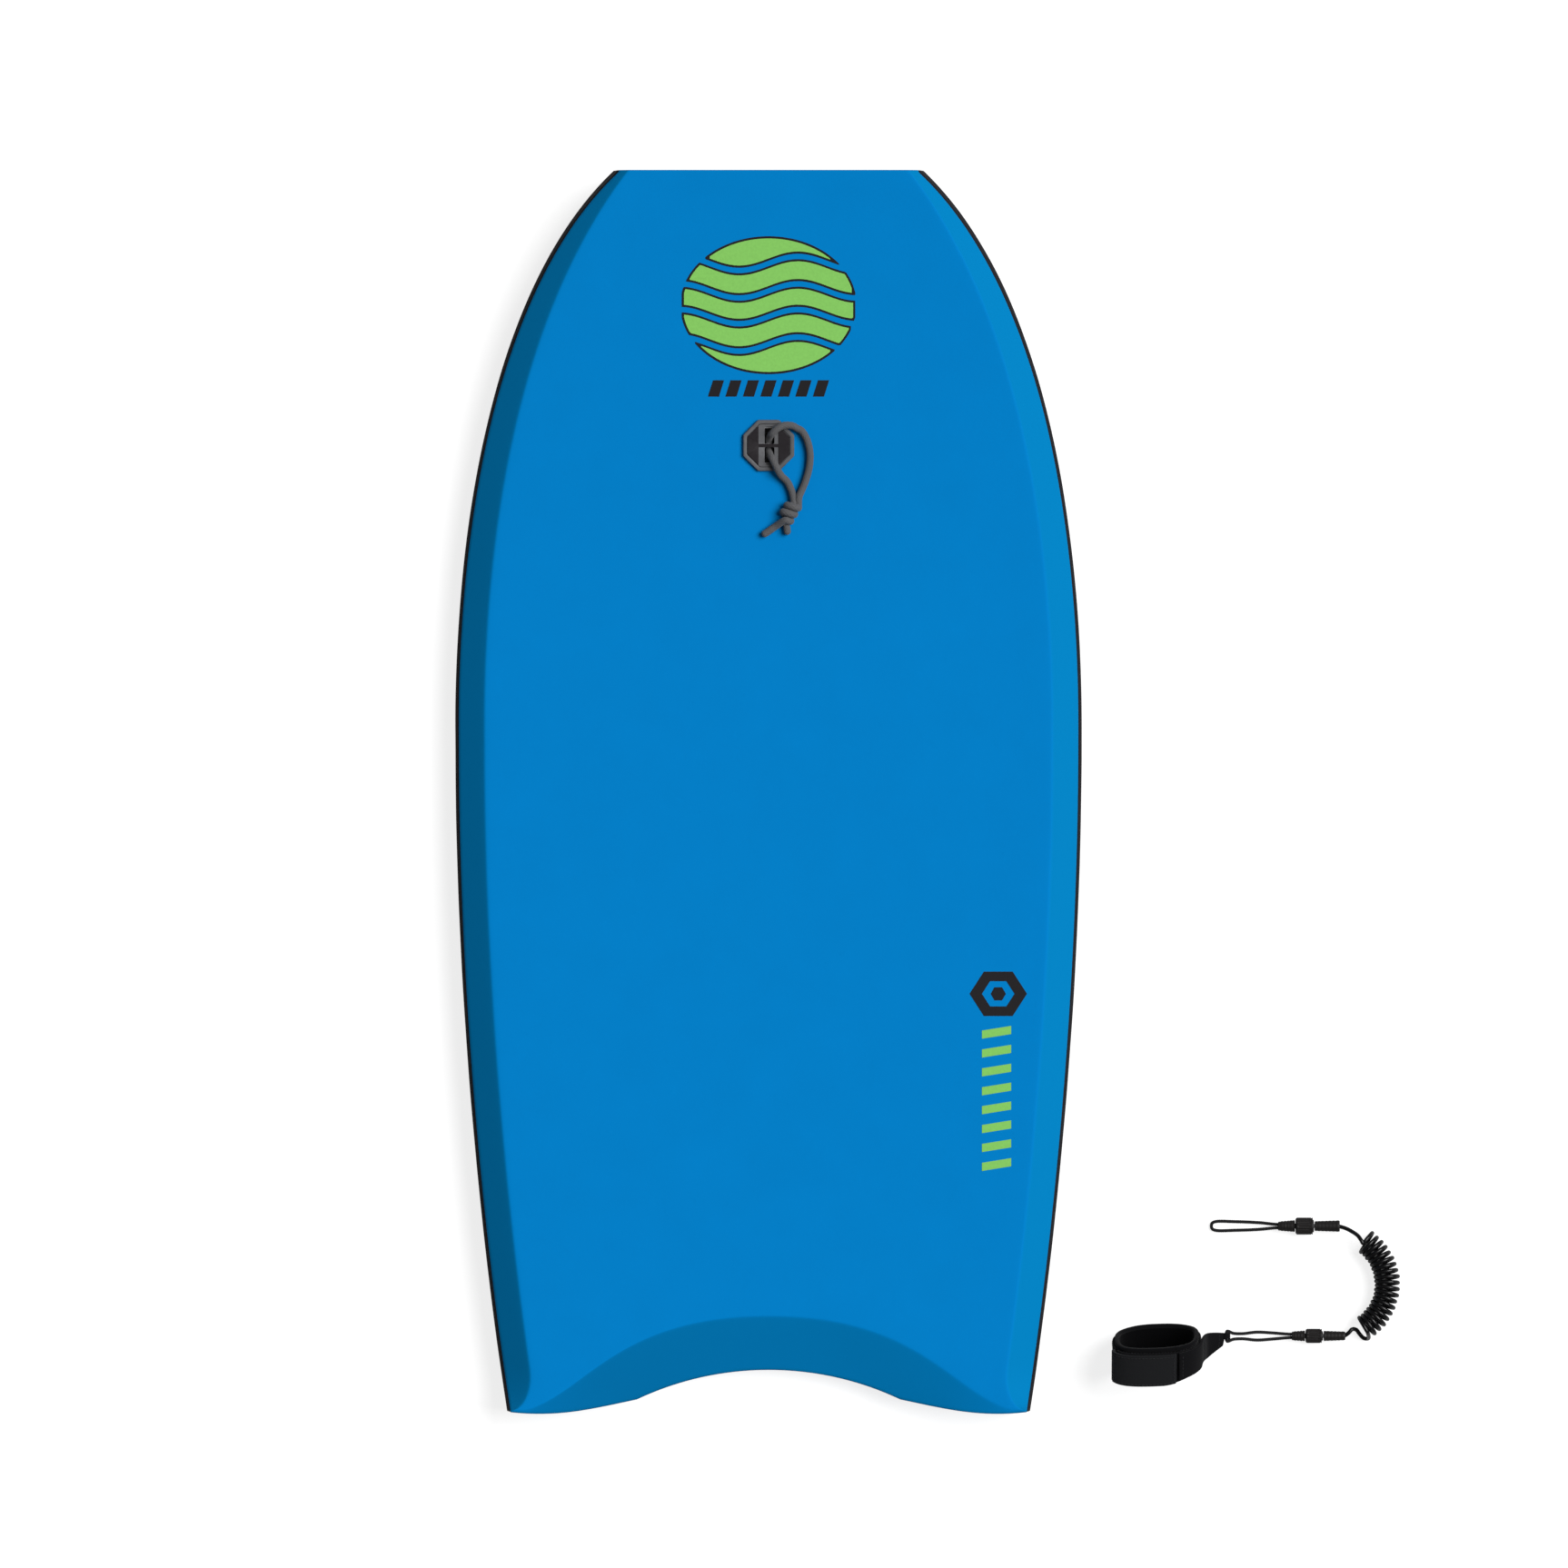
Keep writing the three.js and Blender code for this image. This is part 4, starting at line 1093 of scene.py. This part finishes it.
def pile_relief(run, along):
    """Tufts of a loop patch."""
    flat = np.stack([run, along, 0 * run], -1).reshape(-1, 3)
    made = np.array([noise.noise(Vector(p * 1.3)) + 0.5 * noise.noise(Vector(p * 2.9))
                     for p in flat])
    return 0.22 * made.reshape(run.shape) - 0.1


def crease_relief(run, along):
    """Shallow buckles that run along the wrist on the inside of bent neoprene."""
    return 0.25 * np.sin(run / 7.5 + 0.8 * np.sin(along / 9)) * np.cos(along / 14)


def build_cuff():
    start, end = FLAP_END - 0.8 - 360, FLAP_END - 1.0
    pad = band(start, end, -5.6, -2.3, PAD, crease_relief, 1.0, 30, 1.4)
    add("cuff_pad_foam", *pad, NEOPRENE, "cuff", "neoprene", ["cuff_pad"], 60)
    for number, along in enumerate((PAD[0] + 1.3, PAD[1] - 1.3), 1):
        rings = []
        for angle in np.radians(np.linspace(start + 0.15, end - 0.15, 260)):
            ring = []
            for c, s in circle(1, 12):
                square = (abs(c) ** 4 + abs(s) ** 4) ** -0.25
                ring.append(cuff_point(angle, -3.95 + 1.95 * square * c, along + 1.9 * square * s))
            rings.append(ring)
        add(f"cuff_binding_{number}", *loft(rings), BINDING, "cuff", "webbing", (), 60)
    tape = tape_band(FLAP_ROOT + 2, 509, -1.7, 0.0, 0.5)
    add("cuff_strap_tape", *tape, WEBBING, "cuff", "webbing", ["cuff_strap"], 80)
    patch = (STRAP[0] + 1.5, STRAP[1] - 1.5)
    loops = band(FLAP_END + 0.5, 143.5, 0.3, 1.15, patch, pile_relief, 0.4, 70, 0.4)
    add("cuff_loop_tape", *loops, LOOPS, "cuff", "hook_and_loop", ["cuff_loop_patch"], 80)
    build_flap()
    build_cuff_stitching()


def hinged(piece):
    """Bakes the piece's place into its mesh; the points of the flap's sewn root are worked out but
    not used.
    """
    root = [cuff_point(math.radians(a), 2.0, 0) * MM for a in (FLAP_ROOT - 2, FLAP_ROOT - 7.5)]
    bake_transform(piece)


def build_flap():
    tape = tape_band(FLAP_END, FLAP_ROOT - 2.5, 2.5, 4.1, 0.5)
    hinged(add("cuff_flap_tape", *tape, FLAP_WEBBING, None, "webbing", ["cuff_flap"], 80))
    root = tape_band(FLAP_ROOT - 3.2, FLAP_ROOT + 1.6, 0.2, 3.6, 1.2)
    add("cuff_flap_seam", *root, FLAP_WEBBING, "cuff", "webbing", (), 80)
    low, high = STRAP[0] + 2, STRAP[1] - 2
    patch = band(FLAP_END + 6.5, FLAP_END + 36, 1.75, 2.35, (low, high), None, 0.8, 20, 0.25)
    add("cuff_hook_tape", *patch, HOOKS, "cuff_flap", "hook_and_loop", ["cuff_hook_patch"])
    hooks = []
    for row, along in enumerate(np.arange(low + 1.2, high - 1, 1.35)):
        for angle in np.arange(FLAP_END + 7.6 + (row % 2) * 0.9, FLAP_END + 35, 1.9):
            turn = math.radians(angle)
            onward = unit(cuff_point(turn + 0.01, 1.5, along) - cuff_point(turn, 1.5, along))
            rings = []
            for off, radius in ((1.78, 0.32), (1.55, 0.2), (1.4, 0.42), (1.25, 0.3)):
                centre = cuff_point(turn, off, along)
                rings.append([centre + x * onward + y * CUFF_TURN[:, 2]
                              for x, y in circle(radius, 6)])
            hooks.append(loft(rings))
    add("cuff_hooks", *joined(hooks), HOOKS, "cuff_flap", "hook_and_loop")


def build_cuff_stitching():
    for number, along in enumerate((STRAP[0] + 2.2, STRAP[1] - 2.2), 1):
        stitches(f"strap_stitch_{number}", rim_path(160, 360, 0, along), outward(160, 360), "cuff")
        hinged(stitches(f"flap_stitch_{number}", rim_path(FLAP_END + 3, 147, 4.1, along),
                        outward(FLAP_END + 3, 147), None))
    for number, angle in enumerate((FLAP_END + 2.8, 146), 1):
        spots = cuff_point(np.radians(np.full(40, angle)), 4.1, np.linspace(-12.4, 11, 40))
        hinged(stitches(f"flap_cross_stitch_{number}", spots, outward(angle, angle, 40), None))
    for number, along in enumerate((PAD[0] + 3.1, PAD[1] - 3.1), 1):
        path = rim_path(FLAP_END + 3, FLAP_END + 354, -2.05, along)
        stitches(f"binding_stitch_{number}", path, outward(FLAP_END + 3, FLAP_END + 354), "cuff",
                 2.6, 1.9, 0.18, 0.0)


TONGUE_EYE = np.array((393.0, -466.8, 24))
TONGUE_HALF = 1.15
TONGUE_ROWS = 130


def tongue_edge(on_cuff, beyond):
    """One edge of the tongue: [degrees, off, along] on the cuff, then points in the row frame."""
    spots = [cuff_point(math.radians(angle), off, along) for angle, off, along in on_cuff]
    edge = spline([*spots, *beyond], 0.5)
    return even(edge, run_along(edge)[-1] / (TONGUE_ROWS - 1))


def build_tongue():
    """The tab over the cuff's right side to the string: narrowing, folded round its eye."""
    upper = tongue_edge([(62, 1.35, -14.2), (45, 1.35, -14.6), (28, 1.35, -15.2),
                         (12, 1.35, -16.4)],
                        [(376.5, -464.2, 35.5), (384, -463.6, 28.5), (391.8, -464.0, 24.6)])
    lower = tongue_edge([(62, 1.35, 12.8), (45, 1.35, 12.4), (28, 1.35, 11.4), (13, 1.4, 8.8)],
                        [(376.3, -485.4, 30.6), (383, -480.2, 27.2), (390, -475.0, 24.4)])

    def across(n, reach):
        """The row's width and the face's normal, from the rows this far before and after it."""
        before, after = max(0, n - reach), min(TONGUE_ROWS - 1, n + reach)
        way = (upper[after] - upper[before]) + (lower[after] - lower[before])
        width = lower[n] - upper[n]
        return width, -unit(np.cross(way, width))

    shares = np.linspace(0, 1, 61)
    rings = []
    for n, top in enumerate(upper):
        width, normal = across(n, 2)
        length = np.linalg.norm(width)
        near_end = min(n, TONGUE_ROWS - 1 - n) / 3
        half = TONGUE_HALF * math.sqrt(1 - (1 - min(1, max(0.1, near_end))) ** 2)
        ring = []
        for side in (1, -1):
            for share in shares[::side]:
                edge = min(share, 1 - share) * length / 0.7
                thick = half * math.sqrt(1 - (1 - min(1, max(0.12, edge))) ** 2)
                weave = 0.13 * math.cos(share * length * TAU / 1.15) * math.sin(n * 1.05)
                bow = 0.5 * math.sin(math.pi * share)
                ring.append(top + width * share + normal * (side * (thick + weave) + bow))
        rings.append(ring)
    add("cuff_tongue_tape", *loft(rings), WEBBING, "cuff", "webbing", ["cuff_tongue"], 80)
    roll = rounded([(2.3, -2.8), (3.5, -2.8), (3.5, 2.8), (2.3, 2.8)], 0.5)
    add("cuff_tongue_roll", *lathe(roll, TONGUE_EYE, 1, 36), WEBBING, "cuff", "webbing")
    for number, n in enumerate((6, 66, 74, 118), 1):
        width, normal = across(n, 1)
        shares = np.linspace(0.1, 0.9, 20)[:, None]
        spots = upper[n] + width * shares + normal * (1.2 + 0.5 * np.sin(math.pi * shares))
        stitches(f"tongue_stitch_{number}", spots, np.tile(normal, (20, 1)), "cuff")


# ---------------------------------------------------------------- strings, swivels and coil

STRING_RADIUS = 1.45
SWIVEL_A = {"x": 468.4, "y": -466.9, "z": 6.6, "radius": 6.2, "half": 7.0}
SWIVEL_B = {"x": 460.2, "y": -372.5, "z": 7.7, "radius": 7.4, "half": 7.4}
LOOP_END_X = 379.6


def string(name, strand, body, stands_for):
    """A doubled string: strand(1) is the way out, and strand(-1) the way back."""
    path = spline([*strand(1), *strand(-1)[::-1]], 0.2)
    rings = tube(path, STRING_RADIUS, 32, woven(STRING_RADIUS, 6, 0.25))
    add(name, *loft(rings), STRING, body, "string_black", [stands_for], 60)


def build_strings():
    def cuff_strand(side):
        y, z = SWIVEL_A["y"], SWIVEL_A["z"]
        end = SWIVEL_A["x"] - SWIVEL_A["half"] - 6
        eye_x, eye_y, eye_z = TONGUE_EYE
        return [(end, y + side * 1.5, z), (end - 8, y + side * 1.5, z),
                (end - 22, y + side * 2.6, z + 3.2), (end - 36, y + side * 3.4, z + 8.5),
                (eye_x + 14, y + side * 2.2, eye_z - 4), (eye_x + 6, y + side * 2.6, eye_z - 1),
                (eye_x + 0.9, eye_y + side * 4.3, eye_z), (eye_x, eye_y + side * 2.2, eye_z)]

    def board_strand(side):
        y, z = SWIVEL_B["y"], SWIVEL_B["z"]
        end = SWIVEL_B["x"] - SWIVEL_B["half"] - 6
        left = LOOP_END_X + STRING_RADIUS
        return [(end, y + side * 1.5, z), (end - 11, y + side * 1.5, z - 0.4),
                (end - 24, y + side * 2.8, 4.4), (end - 45, y + side * 3.7, 2),
                (left + 2.5, y + side * 3.6, 1.8), (left, y + side * 2, 1.8)]

    string("cuff_string_braid", cuff_strand, "cuff", "cuff_string")
    string("board_loop_braid", board_strand, "board_end", "board_loop")


def sleeve(bore, face, way, size, tip, ribs):
    """Profile of a tapering ribbed sleeve that runs one way along its axis from its face.

    size is its length, first and last radius; tip is where its end starts to round off, as a
    share of the length, and by how much; ribs are first and last share, count, depth and pitch.
    """
    length, wide, thin = size
    low, high, count, depth, pitch = ribs
    profile = [(bore, 0.2), (wide - 0.5, 0), (wide, 0.5)]
    for share in np.linspace(low, high, count):
        rib = depth * math.sin(share * length * TAU / pitch)
        profile.append((wide + (thin - wide) * share + rib, length * share))
    profile += [(thin, length * tip[0]), (thin - tip[1], length), (bore, length - 0.3)]
    return [(radius, face + way * along) for radius, along in profile]


def build_swivel(letter, at, string_body, coil_body, string_size, coil_size):
    """Housing, collar and two sleeves; the pin inside stays as its CAD node."""
    centre = (at["x"], at["y"], at["z"])
    radius, half = at["radius"], at["half"]
    cavity = radius - 1.7
    shell = [(0.3, -half - 4), (2.0, -half - 4), (2.2, -half - 3.8), (2.2, -half - 0.1),
             (radius - 1.6, -half), (radius - 0.6, -half + 0.5), (radius, -half + 1.6),
             *((radius, along) for along in np.linspace(-half + 2.2, half - 2.6, 9)),
             (radius, half - 1.6), (radius - 0.5, half - 1.3), (radius - 0.5, half - 0.9),
             (radius - 0.1, half - 0.6), (radius - 0.3, half - 0.1), (radius - 0.8, half),
             (cavity, half), (cavity, -half + 2.4), (0.3, -half + 2.4)]
    collar = [(2.4, half - 2.9), (cavity - 0.3, half - 2.9), (cavity - 0.3, half + 0.3),
              (cavity - 0.5, half + 0.8), (cavity - 1.2, half + 1.0), (2.9, half + 1.0),
              (2.4, half + 0.6)]
    by_string = sleeve(3.05, -half - 0.5, -1, string_size, (0.95, 0.4), (0.1, 0.86, 12, 0.22, 2.6))
    by_coil = sleeve(2.4, half + 1.6, 1, coil_size, (0.96, 0.45), (0.08, 0.9, 18, 0.12, 3.1))
    grip = (16, 0.45, -half + 2.1, half - 2.5)
    for name, solid, body, node in (
            ("housing", lathe(shell, centre, 0, 96, grip), string_body, "swivel_{}_housing"),
            ("collar", lathe(collar, centre, 0), string_body, "swivel_{}_collar"),
            ("string_sleeve", lathe(by_string, centre, 0), string_body, "sleeve_{}_string"),
            ("coil_sleeve", lathe(by_coil, centre, 0), coil_body, "sleeve_{}_coil")):
        add(f"{name}_{letter}", *solid, MOULDED, body, "moulded_black", [node.format(letter)], 40)


COIL_CENTRE = np.array((486.6, -422.5))
COIL_ARC_RADIUS = 45
COIL_HALF_ANGLE = math.radians(58.3)
COIL_RADIUS = 9.3
COIL_CORD = 1.75
COIL_TURNS = 20
COIL_POINTS = 26    # to a turn
COIL_TRIM = (11, 12)    # points left off at each end, where the leads to the swivels take over
COIL_SIDES = 16
COIL_OPENS = ((0.5, -0.4625, 0.011), (0.5, -0.3815, 0.011))    # the ends of the line in spread_evenly, in metres


def spread_evenly(piece, first, last):
    """Puts each section's points on the line between the two ends in COIL_OPENS, at a smooth share
    of the way set by the section's even share, bakes the piece's transform, and then sets the points
    back where they were.
    """
    real = np.zeros(len(piece.data.vertices) * 3, np.float32)
    piece.data.vertices.foreach_get("co", real)
    section = np.arange(len(real) // 3) // COIL_SIDES
    even_share = np.clip((section - first) / (last - first), 0, 1)
    along = 0.5 - np.sin(np.arcsin(1 - 2 * even_share) / 3)
    start, end = np.array(COIL_OPENS)
    line = start + along[:, None] * (end - start)
    piece.data.vertices.foreach_set("co", line.astype(np.float32).ravel())
    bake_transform(piece)
    piece.data.vertices.foreach_set("co", real)
    piece.data.update()


def build_coil():
    share = np.linspace(0, 1, COIL_TURNS * COIL_POINTS + 1)
    arc = (2 * share - 1) * COIL_HALF_ANGLE
    turn = TAU * COIL_TURNS * share - math.pi / 2
    size = COIL_RADIUS * (1 + 0.025 * np.sin(turn * 0.37 + 1) + 0.015 * np.sin(turn * 0.11))
    reach = COIL_ARC_RADIUS + size * np.cos(turn)
    height = COIL_RADIUS + COIL_CORD + 0.5 + size * np.sin(turn)
    coil = np.stack([COIL_CENTRE[0] + reach * np.cos(arc), COIL_CENTRE[1] + reach * np.sin(arc),
                     np.maximum(height, COIL_CORD + 0.1)], -1)
    coil = coil[COIL_TRIM[0]:-COIL_TRIM[1]]

    def leaving(swivel, *distances):
        face = swivel["x"] + swivel["half"]
        return [(face + distance, swivel["y"], swivel["z"]) for distance in distances]

    start = [*leaving(SWIVEL_A, 11, 19), (498.5, -464.3, 7.4), (501.5, -461.2, 7.0),
             (505.0, -461.6, 5.2), (508.2, -465.6, 3.4), (511.6, -468.9, 3.2), (515.0, -469.3, 4.6)]
    end = [(509.0, -384.5, 21.0), (506.2, -380.6, 18.0), (501, -377.0, 12.6), (495.8, -374.4, 9.2),
           *leaving(SWIVEL_B, 21, 11)]
    path = spline([*start, *coil, *end], 0.75)
    solid = loft(tube(path, COIL_CORD, COIL_SIDES))
    piece = add("coil_spring_cord", *solid, URETHANE, None, "urethane", ["coil_cord"], 60)
    first, last = (int(np.argmin(np.linalg.norm(path - p, axis=1))) for p in (coil[0], coil[-1]))
    spread_evenly(piece, first, last)


# ---------------------------------------------------------------- stage

LENS = 600
SENSOR = 36
VIEW_CENTRE = (13.2498, 7.4043)    # the point the camera looks straight down on
VIEW_SPAN = 1345.2444    # width seen at the focus height
FOCUS_HEIGHT = 45
FLOOR_HALF = 30000
FLOOR_Z = -0.4    # just clear of what lies on it
SUN_FROM = (0.56, 0.2, 0.81)
SUN_ENERGY = 3.4
SUN_ANGLE = math.radians(38)
SURROUND = (0.14, 0.97)    # the world's strength as light, and as the camera sees it


def build_floor():
    """White paper that lights the object softly and shows only a faint shadow itself."""
    mesh = bpy.data.meshes.new("floor")
    corners = [(x * FLOOR_HALF * MM, y * FLOOR_HALF * MM, 0)
               for x, y in ((-1, -1), (1, -1), (1, 1), (-1, 1))]
    mesh.from_pydata(corners, [], [(0, 1, 2, 3)])
    g = Graph("floor_paper", 0.9, 0.1)
    seen = g.node("ShaderNodeLightPath").outputs["Is Camera Ray"]
    lighting = g.shade((0.6, 0.6, 0.6), g.noise(400), 0.01)
    g.colour(g.mix(seen, lighting, (0.38, 0.38, 0.38, 1)))
    g.shader.inputs["Emission Color"].default_value = (1, 1, 1, 1)
    g.link(g.math("MULTIPLY", seen, 0.8), "Emission Strength")
    mesh.materials.append(g.material)
    floor = placed("floor", mesh)
    floor.location.z = FLOOR_Z * MM


def build_light():
    """A wide soft source high on the right, and a dim even surround that the camera sees white."""
    world = bpy.data.worlds.new("studio")
    bpy.context.scene.world = world
    world.use_nodes = True
    nodes, links = world.node_tree.nodes, world.node_tree.links
    back = nodes["Background"]
    back.inputs["Color"].default_value = (1, 1, 1, 1)
    path = nodes.new("ShaderNodeLightPath")
    level = nodes.new("ShaderNodeMapRange")
    level.inputs["To Min"].default_value, level.inputs["To Max"].default_value = SURROUND
    links.new(path.outputs["Is Camera Ray"], level.inputs["Value"])
    links.new(level.outputs[0], back.inputs["Strength"])

    sun = bpy.data.lights.new("window", "SUN")
    sun.energy = SUN_ENERGY
    sun.angle = SUN_ANGLE
    lamp = placed("window", sun)
    lamp.rotation_mode = "QUATERNION"
    lamp.rotation_quaternion = Vector(SUN_FROM).to_track_quat("Z", "Y")


def build_camera():
    """A long lens straight above, so that the board's sides stay out of sight."""
    view = bpy.data.cameras.new("camera")
    view.lens = LENS
    view.sensor_width = SENSOR
    view.clip_end = 100
    camera = placed("camera", view)
    height = VIEW_SPAN * LENS / SENSOR + FOCUS_HEIGHT
    camera.location = [length * MM for length in (*VIEW_CENTRE, height)]
    scene = bpy.context.scene
    scene.camera = camera
    scene.view_settings.view_transform = "Standard"
    scene.view_settings.look = "None"


CAD_FINISH = {
    "foam_core": FOAM_CORE,
    "stringer_tube": CARBON,
    "stringer_cap_nose": MOULDED,
    "stringer_cap_tail": MOULDED,
    "swivel_a_pin": STEEL,
    "swivel_b_pin": STEEL,
}

build_layers()
build_rails()
build_bumpers()
build_prints()
build_plug()
build_plug_cord()
build_cuff()
build_tongue()
build_strings()
build_swivel("a", SWIVEL_A, "cuff", "coil_end_a", (11.2, 4.6, 3.8), (18.6, 4.4, 3.7))
build_swivel("b", SWIVEL_B, "board_end", "coil_end_b", (14.4, 5.1, 3.9), (21.6, 4.2, 4.9))
build_coil()
for node, finish in CAD_FINISH.items():
    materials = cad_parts[node].data.materials
    materials.clear()
    materials.append(finish)
build_floor()
build_light()
build_camera()

bpy.context.view_layer.update()
